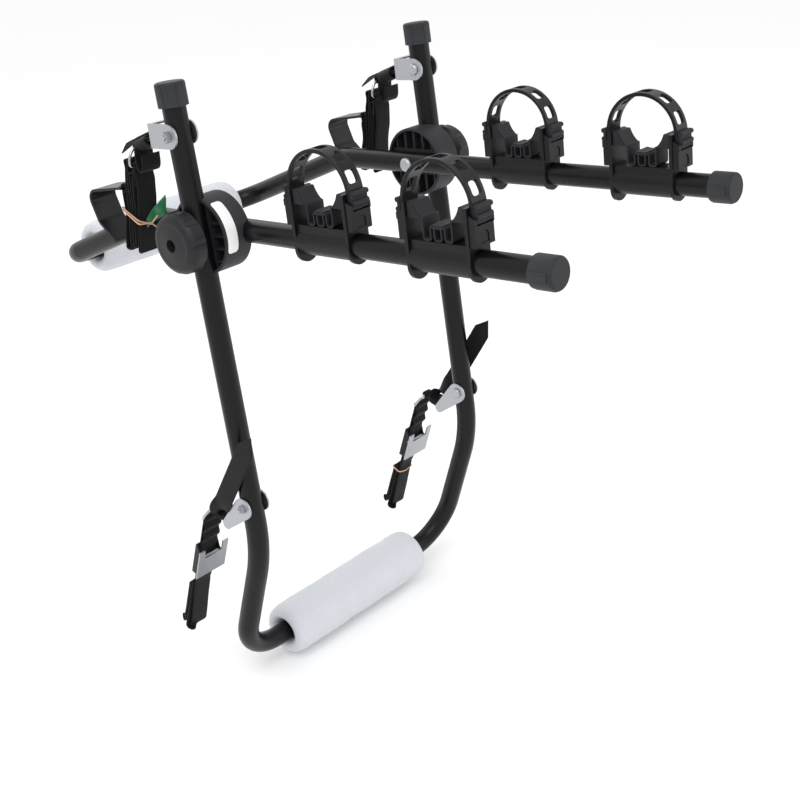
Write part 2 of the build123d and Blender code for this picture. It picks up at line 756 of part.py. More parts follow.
# Upper straps: folded webbing under the ring, with a hook in its end eye
hook_eye = hook_bar / 2 + eye_gap
hook_out = 4 * fold_pitch + hook_ply
for label, side in sides.items():
    ring_bar = at_x(ring_bars["upper"], side * leg_half)
    hang_plane = side_plane(ring_bar, 0)
    with BuildPart() as strap:
        with BuildSketch(hang_plane):
            with BuildLine():
                FilletPolyline(
                    (0, 0),
                    (0, -upper_fold_bottom),
                    (fold_pitch, -upper_fold_bottom),
                    (fold_pitch, -upper_fold_low_top),
                    (2 * fold_pitch, -upper_fold_low_top),
                    (2 * fold_pitch, -upper_fold_bottom),
                    (3 * fold_pitch, -upper_fold_bottom),
                    (3 * fold_pitch, -upper_fold_high_top),
                    (4 * fold_pitch, -upper_fold_high_top),
                    (4 * fold_pitch, -upper_fold_bottom),
                    (hook_out, -upper_fold_bottom),
                    (hook_out, -hook_drop),
                    radius=fold_radius,
                )
            trace(line_width=webbing_thickness)
            Circle(wire_radius + eye_gap + webbing_thickness)
            Circle(wire_radius + eye_gap, mode=Mode.SUBTRACT)
            with Locations((hook_out, -hook_drop)):
                Circle(hook_eye + webbing_thickness)
                Circle(hook_eye, mode=Mode.SUBTRACT)
        extrude(amount=webbing_width / 2, both=True)
    save(strap, f"strap_fold_upper_{label}")

    hook_plane = side_plane(hang_plane.from_local_coords(Vector(hook_out, -hook_drop, 0)), 0)
    with BuildPart() as hook:
        with BuildSketch(hook_plane):
            with BuildLine():
                FilletPolyline(
                    (0, 0),
                    (hook_reach, -hook_fall),
                    (hook_reach - hook_fall, -hook_fall - hook_mouth),
                    (hook_reach - hook_fall - hook_return, -hook_fall - hook_mouth - hook_return_fall),
                    radius=hook_bend_radius,
                )
            trace(line_width=hook_plate)
            Circle(hook_bar / 2)
        extrude(amount=hook_width / 2, both=True)
        with BuildSketch(hook_plane):
            Circle(hook_slot_length)
            Circle(hook_bar / 2, mode=Mode.SUBTRACT)
        extrude(amount=hook_slot_width / 2, both=True, mode=Mode.SUBTRACT)
    save(hook, f"strap_hook_{label}")

# Lower straps: webbing through a cam buckle, folded below it
pin_along = buckle_start + buckle_pin_drop
plate_in = buckle_pin_out + buckle_ear_radius + eye_gap
side_in = webbing_width / 2 + buckle_side_gap
back_in = webbing_ply / 2 + buckle_back_gap
frame_end = buckle_start + buckle_length + buckle_side
for label, side in sides.items():
    strap_plane = side_plane(at_x(ring_bars["lower"], side * leg_half), lower_strap_tilt)
    with BuildPart() as strap:
        with BuildSketch(strap_plane):
            with BuildLine():
                FilletPolyline(
                    (lower_fold_top, 0),
                    (lower_fold_bottom, 0),
                    (lower_fold_bottom, fold_pitch),
                    (lower_fold_top, fold_pitch),
                    (lower_fold_top, 2 * fold_pitch),
                    (lower_fold_bottom - lower_fold_slip, 2 * fold_pitch),
                    (lower_fold_bottom - lower_fold_slip, 3 * fold_pitch),
                    (lower_fold_top + lower_fold_slip, 3 * fold_pitch),
                    radius=fold_radius,
                )
            trace(line_width=webbing_thickness)
            with Locations((lower_fold_top / 2, 0)):
                Rectangle(lower_fold_top, webbing_ply)
            Circle(wire_radius + eye_gap + webbing_thickness)
            Circle(wire_radius + eye_gap, mode=Mode.SUBTRACT)
        extrude(amount=webbing_width / 2, both=True)
    save(strap, f"strap_fold_lower_{label}")

    with BuildPart() as buckle_frame:
        with BuildSketch(strap_plane):
            with BuildLine():
                Polyline(
                    (pin_along, -buckle_pin_out - buckle_ear_radius),
                    (frame_end, -buckle_pin_out - buckle_ear_radius),
                    (frame_end, back_in + buckle_side),
                    (buckle_start, back_in + buckle_side),
                    (buckle_start, back_in),
                    (pin_along - buckle_ear_radius, -buckle_pin_out),
                    (pin_along, -buckle_pin_out),
                    close=True,
                )
            make_face()
            with Locations((pin_along, -buckle_pin_out)):
                Circle(buckle_ear_radius)
        extrude(amount=side_in + buckle_side, both=True)
        with BuildSketch(strap_plane):
            with Locations((pin_along, back_in - buckle_length)):
                Rectangle(2 * buckle_length, 2 * buckle_length)
        extrude(amount=side_in, both=True, mode=Mode.SUBTRACT)
        with BuildSketch(strap_plane):
            with Locations((pin_along, -buckle_pin_out)):
                Circle(buckle_pin_diameter / 2 + running_clearance)
        extrude(amount=buckle_plate_width, both=True, mode=Mode.SUBTRACT)
    save(buckle_frame, f"buckle_frame_{label}")

    with BuildPart() as buckle_lever:
        with BuildSketch(strap_plane):
            with Locations((buckle_start + buckle_length / 2, -plate_in - buckle_plate_thickness / 2)):
                Rectangle(buckle_length, buckle_plate_thickness)
        extrude(amount=buckle_plate_width / 2, both=True)
        notch_plane = Plane(strap_plane.origin, x_dir=strap_plane.x_dir, z_dir=-strap_plane.y_dir)
        with BuildSketch(notch_plane):
            with Locations((buckle_start, 0)):
                RectangleRounded(2 * buckle_notch_depth, buckle_notch_width, ring_corner_radius)
        extrude(amount=buckle_length, both=True, mode=Mode.SUBTRACT)
        with BuildSketch(strap_plane):
            with Locations((pin_along, -(buckle_pin_out + plate_in) / 2)):
                Rectangle(buckle_web, plate_in - buckle_pin_out)
            with Locations((pin_along, -buckle_pin_out)):
                Circle(buckle_cam_radius)
        extrude(amount=webbing_width / 2, both=True)
        with BuildSketch(strap_plane):
            with Locations((pin_along, -buckle_pin_out)):
                Circle(buckle_pin_diameter / 2)
        extrude(amount=side_in + buckle_side, both=True)
    save(buckle_lever, f"buckle_lever_{label}")
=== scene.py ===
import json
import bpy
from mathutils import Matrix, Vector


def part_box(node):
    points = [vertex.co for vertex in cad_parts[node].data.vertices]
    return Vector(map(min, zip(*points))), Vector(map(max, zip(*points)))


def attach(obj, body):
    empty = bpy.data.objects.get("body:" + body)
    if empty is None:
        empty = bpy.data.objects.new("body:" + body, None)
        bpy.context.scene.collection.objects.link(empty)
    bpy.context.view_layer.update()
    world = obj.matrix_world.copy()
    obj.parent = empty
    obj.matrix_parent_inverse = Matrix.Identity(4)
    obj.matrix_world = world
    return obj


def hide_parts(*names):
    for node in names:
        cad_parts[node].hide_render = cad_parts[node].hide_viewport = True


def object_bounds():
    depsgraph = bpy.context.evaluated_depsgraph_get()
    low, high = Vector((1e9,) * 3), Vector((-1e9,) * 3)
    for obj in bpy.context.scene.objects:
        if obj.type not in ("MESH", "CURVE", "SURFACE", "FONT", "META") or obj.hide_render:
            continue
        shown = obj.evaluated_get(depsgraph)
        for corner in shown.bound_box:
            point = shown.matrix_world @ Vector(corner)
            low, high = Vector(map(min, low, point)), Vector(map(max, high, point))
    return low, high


bl_info = {
    "name": "Trunk Bike Rack",
    "version": (1, 0, 0),
    "blender": (4, 5, 0),
    "location": "3D View > Sidebar > Bike Rack",
    "description": "Finishes, foam, webbing and stage for a folding trunk bike rack",
    "category": "Add Mesh",
}

from math import cos, exp, pi, radians, sin

import bmesh
import bpy
from mathutils import Matrix, Vector
from mathutils import noise as value_noise

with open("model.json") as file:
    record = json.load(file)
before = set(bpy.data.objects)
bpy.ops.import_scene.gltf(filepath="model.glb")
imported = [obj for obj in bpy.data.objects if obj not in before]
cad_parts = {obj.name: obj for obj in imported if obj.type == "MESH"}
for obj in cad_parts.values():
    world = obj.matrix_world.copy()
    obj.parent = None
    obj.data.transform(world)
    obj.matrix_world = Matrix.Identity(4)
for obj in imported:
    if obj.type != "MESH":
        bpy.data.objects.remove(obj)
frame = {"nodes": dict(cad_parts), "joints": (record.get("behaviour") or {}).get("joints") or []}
cad_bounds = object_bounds()

# Lengths are metres. Tilts are degrees in the side view, from +Y towards +Z.
SIDES = {"left": -1, "right": 1}
LEVELS = ("upper", "lower")
ACROSS = Vector((1, 0, 0))
PIVOTS = {joint["name"]: Vector(joint["pos_m"]) for joint in frame["joints"] if joint.get("pos_m")}

# The arms' rise, and each cradle's distance from the hub along its arm
ARM_RISE = 8.3
CRADLES = {"left_inner": 0.161, "left_outer": 0.314, "right_inner": 0.173, "right_outer": 0.337}

# The straps as packed: how they hang, how far a ring reaches, and the eyes round each bar
RING_DEPTH = 0.0201
RING_TILT = {"upper": -95, "lower": -60}
STRAP_TILT = {"upper": -90, "lower": -75}
TIE_TILT = {"upper": -26, "lower": 8}
TAIL_TILT = 118
FOLD_PITCH = 0.0034
EYE = {"bar": 0.0045, "ring": 0.0038, "ring_bar": 0.0031, "hook": 0.0035}

# The camera, fitted to the photograph
CAMERA_PLACE = (-1.0339, -1.0058, 1.0440)
CAMERA_RIGHT = Vector((0.6626, -0.7490, 0.0))
CAMERA_DOWN = Vector((-0.3481, -0.3080, -0.8854))
CAMERA_FORWARD = Vector((0.6631, 0.5867, -0.4648))


# Small helpers for places and paths


def side_vector(angle):
    """Unit vector in the side view, from +Y towards +Z, for an angle in degrees."""
    return Vector((0, cos(radians(angle)), sin(radians(angle))))


def strap_axes(tilt):
    """Directions of a strap in the side view: along it and out of its face."""
    return side_vector(tilt), side_vector(tilt + 90)


def ring_bar_of(level, side):
    """Middle of the straight bar of one ring."""
    return PIVOTS[f"strap_swing_{level}_{side}"] + side_vector(RING_TILT[level]) * RING_DEPTH


def smooth_step(low, high, value):
    """0 below low, 1 above high and a smooth rise between."""
    share = max(0.0, min(1.0, (value - low) / (high - low)))
    return share * share * (3 - 2 * share)


def hump(value, middle, length):
    """1 at the middle, falling smoothly to 0 on both sides."""
    return exp(-((value - middle) / length) ** 2)


def wave(place, speed, seed):
    """A smooth wave between -1 and 1 along a strap."""
    return value_noise.noise(Vector((place * speed, seed, 0.37 * seed)))


def round_corners(points, radius, step=0.0008):
    """Points along a run of straight pieces whose corners are arcs of one radius."""
    done = [points[0]]
    for before, corner, after in zip(points, points[1:], points[2:]):
        to_before, to_after = (before - corner), (after - corner)
        half = to_before.angle(to_after) / 2
        cut = min(radius / max(sin(half) / cos(half), 1e-6), to_before.length / 2, to_after.length / 2)
        bend = cut * sin(half) / cos(half)
        start = corner + to_before.normalized() * cut
        finish = corner + to_after.normalized() * cut
        middle = corner + (to_before.normalized() + to_after.normalized()).normalized() * (bend / sin(half))
        arm_a, arm_b = start - middle, finish - middle
        turn = arm_a.angle(arm_b)
        steps = max(3, int(turn * bend / step))
        for index in range(steps + 1):
            share = index / steps
            if turn < 1e-4:
                done.append(start.lerp(finish, share))
            elif sin(turn) > 1e-3:
                weight_a, weight_b = sin((1 - share) * turn) / sin(turn), sin(share * turn) / sin(turn)
                done.append(middle + arm_a * weight_a + arm_b * weight_b)
            else:
                axis = to_before.cross(to_after)
                axis = axis.normalized() if axis.length > 1e-9 else ACROSS
                done.append(middle + Matrix.Rotation(-turn * share, 3, axis) @ arm_a)
    done.append(points[-1])
    return done


def smooth_path(points, count=12):
    """A smooth curve through points."""
    ends = [points[0] * 2 - points[1]] + list(points) + [points[-1] * 2 - points[-2]]
    done = []
    for a, b, c, d in zip(ends, ends[1:], ends[2:], ends[3:]):
        slope, bow, twist = c - a, 2 * a - 5 * b + 4 * c - d, 3 * b - a - 3 * c + d
        for index in range(count):
            t = index / count
            done.append(0.5 * (2 * b + slope * t + bow * t * t + twist * t * t * t))
    done.append(points[-1].copy())
    return done


def spread(points, gap):
    """The same path with points at an even gap."""
    even = [points[0].copy()]
    left = gap
    for start, finish in zip(points, points[1:]):
        length = (finish - start).length
        if length < 1e-7:
            continue
        place = left
        while place <= length:
            even.append(start.lerp(finish, place / length))
            place += gap
        left = place - length
    if (even[-1] - points[-1]).length > gap * 0.3:
        even.append(points[-1].copy())
    return even


def eye_loop(centre, stem, face, radius, ply):
    """A strap round a bar, from the face side of its stem to the other side."""
    opening, steps, neck_reach = 0.62, 26, 2.1
    axis = stem.cross(face)
    turn = 2 * pi - 2 * opening
    angles = [opening + turn * index / steps for index in range(steps + 1)]
    loop = [centre + Matrix.Rotation(angle, 3, axis) @ stem * radius for angle in angles]
    neck = stem * (radius * neck_reach)
    return [centre + neck + face * ply] + loop + [centre + neck - face * ply]


# Small helpers for meshes


def mesh_object(name, builder, material, smooth=True):
    """Make an object from a bmesh, with one material, and link it."""
    mesh = bpy.data.meshes.new(name)
    builder.to_mesh(mesh)
    builder.free()
    if smooth:
        mesh.shade_smooth()
    mesh.materials.append(material)
    made = bpy.data.objects.new(name, mesh)
    bpy.context.scene.collection.objects.link(made)
    return made


def apply_modifiers(made):
    """Turn the evaluated object into a plain mesh."""
    graph = bpy.context.evaluated_depsgraph_get()
    mesh = bpy.data.meshes.new_from_object(made.evaluated_get(graph))
    made.modifiers.clear()
    made.data = mesh


def ribbon(points, sides, widths, thickness, builder=None):
    """A flat strap along points, with its width direction and width given at each point."""
    builder = builder or bmesh.new()
    uv = builder.loops.layers.uv.verify()
    half = thickness / 2
    outline = [(-0.5, 0.0), (-0.49, 0.8), (-0.45, 1.0), (-0.15, 1.0), (0.15, 1.0), (0.45, 1.0), (0.49, 0.8)]
    outline += [(-a, -b) for a, b in outline]
    full = max(widths)
    rows = []
    travelled = 0.0
    for index, point in enumerate(points):
        ahead = points[min(index + 1, len(points) - 1)] - points[max(index - 1, 0)]
        normal = ahead.cross(sides[index]).normalized()
        side = normal.cross(ahead).normalized()
        if index:
            travelled += (point - points[index - 1]).length
        ring = [builder.verts.new(point + side * (a * widths[index]) + normal * (b * half)) for a, b in outline]
        rows.append((ring, travelled))
    size = len(outline)
    for (ring_a, place_a), (ring_b, place_b) in zip(rows, rows[1:]):
        for index in range(size):
            follow = (index + 1) % size
            face = builder.faces.new((ring_a[index], ring_a[follow], ring_b[follow], ring_b[index]))
            corners = ((index, place_a), (follow, place_a), (follow, place_b), (index, place_b))
            for loop, (at, along) in zip(face.loops, corners):
                loop[uv].uv = (outline[at][0] * full, along)
    for ring, place in (rows[0], rows[-1]):
        face = builder.faces.new(ring if place else list(reversed(ring)))
        for loop in face.loops:
            loop[uv].uv = (0.0, place)
    return builder


def round_loop(points, radius):
    """A closed round cord along points, with its frame carried along the path."""
    segments = 8
    builder = bmesh.new()
    count = len(points)
    turns = [2 * pi * k / segments for k in range(segments)]
    rings = []
    reference = None
    for index, point in enumerate(points):
        along = (points[(index + 1) % count] - points[index - 1]).normalized()
        if reference is None:
            reference = along.orthogonal().normalized()
        reference = (reference - along * reference.dot(along)).normalized()
        other = along.cross(reference)
        rings.append([builder.verts.new(point + (reference * cos(t) + other * sin(t)) * radius) for t in turns])
    for ring_a, ring_b in zip(rings, rings[1:] + rings[:1]):
        for k in range(segments):
            follow = (k + 1) % segments
            builder.faces.new((ring_a[k], ring_a[follow], ring_b[follow], ring_b[k]))
    bmesh.ops.recalc_face_normals(builder, faces=builder.faces)
    return builder


def sheet(rows):
    """A thin sheet through rows of points."""
    builder = bmesh.new()
    grid = [[builder.verts.new(point) for point in row] for row in rows]
    for row_a, row_b in zip(grid, grid[1:]):
        for k in range(len(row_a) - 1):
            builder.faces.new((row_a[k], row_a[k + 1], row_b[k + 1], row_b[k]))
    bmesh.ops.recalc_face_normals(builder, faces=builder.faces)
    return builder


def extrude_outline(builder, outline, place, half, edge):
    """A solid from an outline in the side view, with its sharp edges rounded."""
    sharp = 0.35
    sides = [[builder.verts.new(place(x, a, b)) for a, b in outline] for x in (-half, half)]
    count = len(outline)
    faces = [builder.faces.new(sides[0]), builder.faces.new(list(reversed(sides[1])))]
    for k in range(count):
        follow = (k + 1) % count
        faces.append(builder.faces.new((sides[0][k], sides[0][follow], sides[1][follow], sides[1][k])))
    bmesh.ops.recalc_face_normals(builder, faces=faces)
    edges = {line for face in faces for line in face.edges if line.calc_face_angle(0) > sharp}
    bmesh.ops.bevel(builder, geom=list(edges), offset=edge, segments=2, affect="EDGES", clamp_overlap=True)


# Small helpers for material nodes


def blank_material(name, colour, roughness, metallic=0.0):
    """A material with its shader set, ready for texture nodes."""
    material = bpy.data.materials.new(name)
    material.use_nodes = True
    shader = material.node_tree.nodes["Principled BSDF"]
    settle(shader, {"Base Color": (*colour[:3], 1.0), "Roughness": roughness, "Metallic": metallic})
    return material, material.node_tree, shader


def settle(node, values):
    """Set a node's inputs by name."""
    for name, value in values.items():
        node.inputs[name].default_value = value


def coordinates(tree, output="Object"):
    """The texture coordinates that a pattern reads."""
    return tree.nodes.new("ShaderNodeTexCoord").outputs[output]


def noise_texture(tree, place, scale, detail=3.0, roughness=0.5):
    """A noise pattern's factor."""
    node = tree.nodes.new("ShaderNodeTexNoise")
    settle(node, {"Scale": scale, "Detail": detail, "Roughness": roughness})
    tree.links.new(place, node.inputs["Vector"])
    return node.outputs["Fac"]


def cell_texture(tree, place, scale, output="Distance"):
    """A cell pattern's distance or colour."""
    node = tree.nodes.new("ShaderNodeTexVoronoi")
    settle(node, {"Scale": scale})
    tree.links.new(place, node.inputs["Vector"])
    return node.outputs[output]


def map_range(tree, value, source, target=(0.0, 1.0)):
    """A value moved from one range to another and clamped."""
    node = tree.nodes.new("ShaderNodeMapRange")
    settle(node, {"From Min": source[0], "From Max": source[1], "To Min": target[0], "To Max": target[1]})
    tree.links.new(value, node.inputs["Value"])
    return node.outputs["Result"]


def mix_colours(tree, factor, first, second):
    """A mix of two colours, each a colour or a socket."""
    node = tree.nodes.new("ShaderNodeMix")
    node.data_type = "RGBA"
    tree.links.new(factor, node.inputs[0])
    for socket, colour in ((node.inputs[6], first), (node.inputs[7], second)):
        if isinstance(colour, bpy.types.NodeSocket):
            tree.links.new(colour, socket)
        else:
            socket.default_value = (*colour[:3], 1.0)
    return node.outputs[2]


def calculate(tree, operation, first, second=None):
    """One math node on sockets or numbers."""
    node = tree.nodes.new("ShaderNodeMath")
    node.operation = operation
    for socket, value in zip(node.inputs, (first, second)):
        if value is None:
            continue
        if isinstance(value, bpy.types.NodeSocket):
            tree.links.new(value, socket)
        else:
            socket.default_value = value
    return node.outputs[0]


def bump(tree, shader, height, strength, distance, below=None):
    """A bump on a shader, on top of another one when given."""
    node = tree.nodes.new("ShaderNodeBump")
    settle(node, {"Strength": strength, "Distance": distance})
    tree.links.new(height, node.inputs["Height"])
    if below is not None:
        tree.links.new(below, node.inputs["Normal"])
    tree.links.new(node.outputs["Normal"], shader.inputs["Normal"])
    return node.outputs["Normal"]


def shaded(colour, share):
    """A colour made lighter or darker by a share."""
    return tuple(min(1.0, part * share) for part in colour[:3])


def clouded(tree, factor, colour, dark, light):
    """A colour that drifts between two of its own shades."""
    return mix_colours(tree, factor, shaded(colour, dark), shaded(colour, light))


# Finishes of the rack


def powder_coat(colour):
    """Satin black powder coat with a fine orange peel."""
    material, tree, shader = blank_material("powder_coat", colour, roughness=0.3)
    place = coordinates(tree)
    cloud = noise_texture(tree, place, scale=14.0, detail=4.0, roughness=0.6)
    tree.links.new(clouded(tree, cloud, colour, dark=0.85, light=1.2), shader.inputs["Base Color"])
    tree.links.new(map_range(tree, cloud, (0.3, 0.7), (0.25, 0.34)), shader.inputs["Roughness"])
    peel = noise_texture(tree, place, scale=900.0, detail=2.0)
    ripple = noise_texture(tree, place, scale=190.0, detail=2.0)
    fine = bump(tree, shader, peel, strength=0.12, distance=0.0002)
    bump(tree, shader, ripple, strength=0.10, distance=0.0006, below=fine)
    settle(shader, {"Specular IOR Level": 0.22})
    return material


def moulded_plastic(name, colour, roughness, grain_scale, grain_strength):
    """Moulded plastic or rubber with a fine mould texture, and its sharp convex edges painted lighter as a
    painted highlight.
    """
    material, tree, shader = blank_material(name, colour, roughness)
    place = coordinates(tree)
    cloud = noise_texture(tree, place, scale=22.0, detail=5.0, roughness=0.6)
    tone = clouded(tree, cloud, colour, dark=0.8, light=1.25)
    # Painted highlight: sharp convex edges are painted lighter, up to a share of 0.35 towards 2.2 times the
    # colour.
    painted_highlight_pointiness = tree.nodes.new("ShaderNodeNewGeometry").outputs["Pointiness"]
    edge = map_range(tree, painted_highlight_pointiness, (0.53, 0.62), (0.0, 0.35))
    tree.links.new(mix_colours(tree, edge, tone, shaded(colour, 2.2)), shader.inputs["Base Color"])
    settle(shader, {"Specular IOR Level": 0.24})
    shine = map_range(tree, cloud, (0.3, 0.7), (roughness - 0.06, roughness + 0.06))
    tree.links.new(shine, shader.inputs["Roughness"])
    grain = cell_texture(tree, place, grain_scale)
    fine = noise_texture(tree, place, grain_scale * 0.6, detail=2.0)
    cells = bump(tree, shader, grain, grain_strength, distance=0.0003)
    bump(tree, shader, fine, grain_strength, distance=0.0003, below=cells)
    return material


def zinc_plate(colour):
    """Bright zinc plate with a faint mottle and fine scratches."""
    material, tree, shader = blank_material("zinc_plate", colour, roughness=0.3, metallic=1.0)
    place = coordinates(tree)
    mottle = noise_texture(tree, place, scale=120.0, detail=4.0, roughness=0.65)
    tree.links.new(clouded(tree, mottle, colour, dark=0.82, light=1.08), shader.inputs["Base Color"])
    tree.links.new(map_range(tree, mottle, (0.3, 0.7), (0.36, 0.5)), shader.inputs["Roughness"])
    brushed = tree.nodes.new("ShaderNodeMapping")
    settle(brushed, {"Scale": (1.0, 1.0, 0.04)})
    tree.links.new(place, brushed.inputs["Vector"])
    lines = noise_texture(tree, brushed.outputs["Vector"], scale=1800.0, detail=2.0)
    bump(tree, shader, lines, strength=0.05, distance=0.0002)
    return material


def ring_wire(colour):
    """Bright drawn wire with a light spotting."""
    material, tree, shader = blank_material("ring_wire", colour, roughness=0.2, metallic=1.0)
    spot = noise_texture(tree, coordinates(tree), scale=300.0)
    tree.links.new(map_range(tree, spot, (0.3, 0.7), (0.14, 0.3)), shader.inputs["Roughness"])
    return material


def foam_skin(colour):
    """Pale closed-cell foam with fine sparkling cells, and painted shade in the cells' pits."""
    material, tree, shader = blank_material("foam_skin", colour, roughness=0.75)
    place = coordinates(tree)
    cloud = noise_texture(tree, place, scale=30.0, detail=4.0, roughness=0.6)
    cells = cell_texture(tree, place, scale=900.0)
    tone = clouded(tree, cloud, colour, dark=0.93, light=1.03)
    # Painted shade: the colour darkens towards 0.8 of itself at the bottom of each cell's pit.
    painted_pit_shade = map_range(tree, cells, (0.0, 0.55), (0.5, 0.0))
    tree.links.new(mix_colours(tree, painted_pit_shade, tone, shaded(colour, 0.8)), shader.inputs["Base Color"])
    fleck = cell_texture(tree, place, scale=420.0, output="Color")
    tree.links.new(map_range(tree, fleck, (0.62, 0.68), (0.78, 0.35)), shader.inputs["Roughness"])
    settle(shader, {
        "Subsurface Weight": 0.25, "Subsurface Radius": (0.01, 0.01, 0.01), "Subsurface Scale": 0.4,
        "Sheen Weight": 0.15,
    })
    soft = noise_texture(tree, place, scale=260.0)
    lumps = bump(tree, shader, soft, strength=0.3, distance=0.0015)
    bump(tree, shader, cells, strength=0.35, distance=0.0007, below=lumps)
    return material


def woven_webbing(colour):
    """Black webbing: cross ribs and warp rows that follow the strap's own map, in metres, with painted
    highlight on the ribs and painted shade in the grooves.
    """
    rib_pitch, row_pitch = 0.0016, 0.0019
    material, tree, shader = blank_material("woven_webbing", colour, roughness=0.62)
    split = tree.nodes.new("ShaderNodeSeparateXYZ")
    tree.links.new(coordinates(tree, "UV"), split.inputs["Vector"])
    ribs = calculate(tree, "SINE", calculate(tree, "MULTIPLY", split.outputs["Y"], 2 * pi / rib_pitch))
    rows = calculate(tree, "SINE", calculate(tree, "MULTIPLY", split.outputs["X"], 2 * pi / row_pitch))
    depth = calculate(tree, "ADD", calculate(tree, "MULTIPLY", rows, 0.5), 0.5)
    weave = map_range(tree, calculate(tree, "MULTIPLY", ribs, depth), (-1.0, 1.0))
    thread = noise_texture(tree, coordinates(tree), scale=700.0)
    # Painted highlight and shade: the raised threads are painted lighter and the grooves between them darker,
    # following the same weave as the bump.
    tone = clouded(tree, weave, colour, dark=0.45, light=1.9)
    fuzz = map_range(tree, thread, (0.35, 0.75), (0.0, 0.5))
    tree.links.new(mix_colours(tree, fuzz, tone, shaded(colour, 0.6)), shader.inputs["Base Color"])
    settle(shader, {"Specular IOR Level": 0.15, "Sheen Weight": 0.05, "Sheen Roughness": 0.4})
    bump(tree, shader, weave, strength=0.8, distance=0.0005)
    return material


def thin_rubber(colour):
    """A stretched rubber band with a soft gloss."""
    material, tree, shader = blank_material("band_rubber", colour, roughness=0.45)
    streak = noise_texture(tree, coordinates(tree), scale=160.0)
    tree.links.new(clouded(tree, streak, colour, dark=0.8, light=1.1), shader.inputs["Base Color"])
    settle(shader, {"Subsurface Weight": 0.2, "Subsurface Radius": (0.004, 0.002, 0.001)})
    bump(tree, shader, streak, strength=0.2, distance=0.0003)
    return material


def label_film(name, colour):
    """Thin film with a soft gloss and slight waves."""
    material, tree, shader = blank_material(name, colour, roughness=0.35)
    ripple = noise_texture(tree, coordinates(tree), scale=90.0, detail=2.0)
    tree.links.new(clouded(tree, ripple, colour, dark=0.92, light=1.05), shader.inputs["Base Color"])
    settle(shader, {"Coat Weight": 0.3})
    bump(tree, shader, ripple, strength=0.15, distance=0.0006)
    return material


def sewing_thread(colour):
    """Twisted thread, a little lighter than the webbing."""
    material, tree, shader = blank_material("sewing_thread", colour, roughness=0.5)
    twist = noise_texture(tree, coordinates(tree), scale=2500.0, detail=2.0)
    bump(tree, shader, twist, strength=0.4, distance=0.0001)
    return material


def plain_floor(colour):
    """A pale floor that keeps the rack's shadow."""
    material, tree, shader = blank_material("pale_floor", colour, roughness=0.9)
    speck = noise_texture(tree, coordinates(tree), scale=3.0, detail=2.0)
    tree.links.new(clouded(tree, speck, colour, dark=0.995, light=1.005), shader.inputs["Base Color"])
    return material


def paint(material, *names):
    """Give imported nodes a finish, whichever slots they have."""
    for name in names:
        node = frame["nodes"][name]
        for slot in node.material_slots:
            slot.material = material
        if not node.material_slots:
            node.data.materials.append(material)


def sided(*names):
    """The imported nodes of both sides, from their shared names."""
    return [f"{name}_{side}" for name in names for side in SIDES]


# Settings that a user would change


class RackFinishes(bpy.types.PropertyGroup):
    """Colours of the rack's finishes."""

    frame_colour: bpy.props.FloatVectorProperty(
        name="Frame", description="Powder coat of the bent tubes", subtype="COLOR",
        default=(0.004, 0.004, 0.005), min=0, max=1)
    cap_colour: bpy.props.FloatVectorProperty(
        name="Caps", description="Rubber caps on the tube ends", subtype="COLOR",
        default=(0.020, 0.021, 0.024), min=0, max=1)
    hub_colour: bpy.props.FloatVectorProperty(
        name="Hubs", description="Textured plastic of the hub halves", subtype="COLOR",
        default=(0.017, 0.017, 0.020), min=0, max=1)
    knob_colour: bpy.props.FloatVectorProperty(
        name="Knobs", description="Satin plastic of the knobs", subtype="COLOR",
        default=(0.013, 0.0135, 0.015), min=0, max=1)
    cradle_colour: bpy.props.FloatVectorProperty(
        name="Cradles", description="Plastic of the cradles and latches", subtype="COLOR",
        default=(0.004, 0.004, 0.005), min=0, max=1)
    cushion_colour: bpy.props.FloatVectorProperty(
        name="Cushions", description="Rubber cushions in the cradles", subtype="COLOR",
        default=(0.012, 0.012, 0.015), min=0, max=1)
    zinc_colour: bpy.props.FloatVectorProperty(
        name="Zinc", description="Plated bolts, brackets and levers", subtype="COLOR",
        default=(0.46, 0.475, 0.50), min=0, max=1)
    foam_colour: bpy.props.FloatVectorProperty(
        name="Foam", description="Foam pads on the cross bars", subtype="COLOR",
        default=(0.60, 0.62, 0.66), min=0, max=1)
    webbing_colour: bpy.props.FloatVectorProperty(
        name="Webbing", description="Woven straps", subtype="COLOR",
        default=(0.0045, 0.0045, 0.0055), min=0, max=1)
    band_colour: bpy.props.FloatVectorProperty(
        name="Bands", description="Rubber bands round the folded straps", subtype="COLOR",
        default=(0.72, 0.42, 0.27), min=0, max=1)
    tag_colour: bpy.props.FloatVectorProperty(
        name="Tag", description="Film tag under the near band", subtype="COLOR",
        default=(0.02, 0.16, 0.06), min=0, max=1)
    label_colour: bpy.props.FloatVectorProperty(
        name="Label", description="Blank label on the near hub", subtype="COLOR",
        default=(0.80, 0.79, 0.80), min=0, max=1)


class RackSizes(bpy.types.PropertyGroup):
    """Sizes of the soft pieces, all in metres."""

    foam_radius: bpy.props.FloatProperty(
        name="Foam radius", description="Outside radius of the foam pads", unit="LENGTH",
        default=0.034, min=0.02, max=0.06)
    foam_bore: bpy.props.FloatProperty(
        name="Foam bore", description="Radius of the bore through the foam pads", unit="LENGTH",
        default=0.013, min=0.01, max=0.03)
    webbing_width: bpy.props.FloatProperty(
        name="Webbing width", description="Width of the straps", unit="LENGTH",
        default=0.025, min=0.01, max=0.05)
    webbing_thickness: bpy.props.FloatProperty(
        name="Webbing thickness", description="Thickness of one ply of strap", unit="LENGTH",
        default=0.002, min=0.001, max=0.004)
    stitch_pitch: bpy.props.FloatProperty(
        name="Stitch pitch", description="Distance from one stitch to the next", unit="LENGTH",
        default=0.0024, min=0.001, max=0.006)
    thread_radius: bpy.props.FloatProperty(
        name="Thread radius", description="Radius of the sewing thread", unit="LENGTH",
        default=0.00028, min=0.0001, max=0.001)


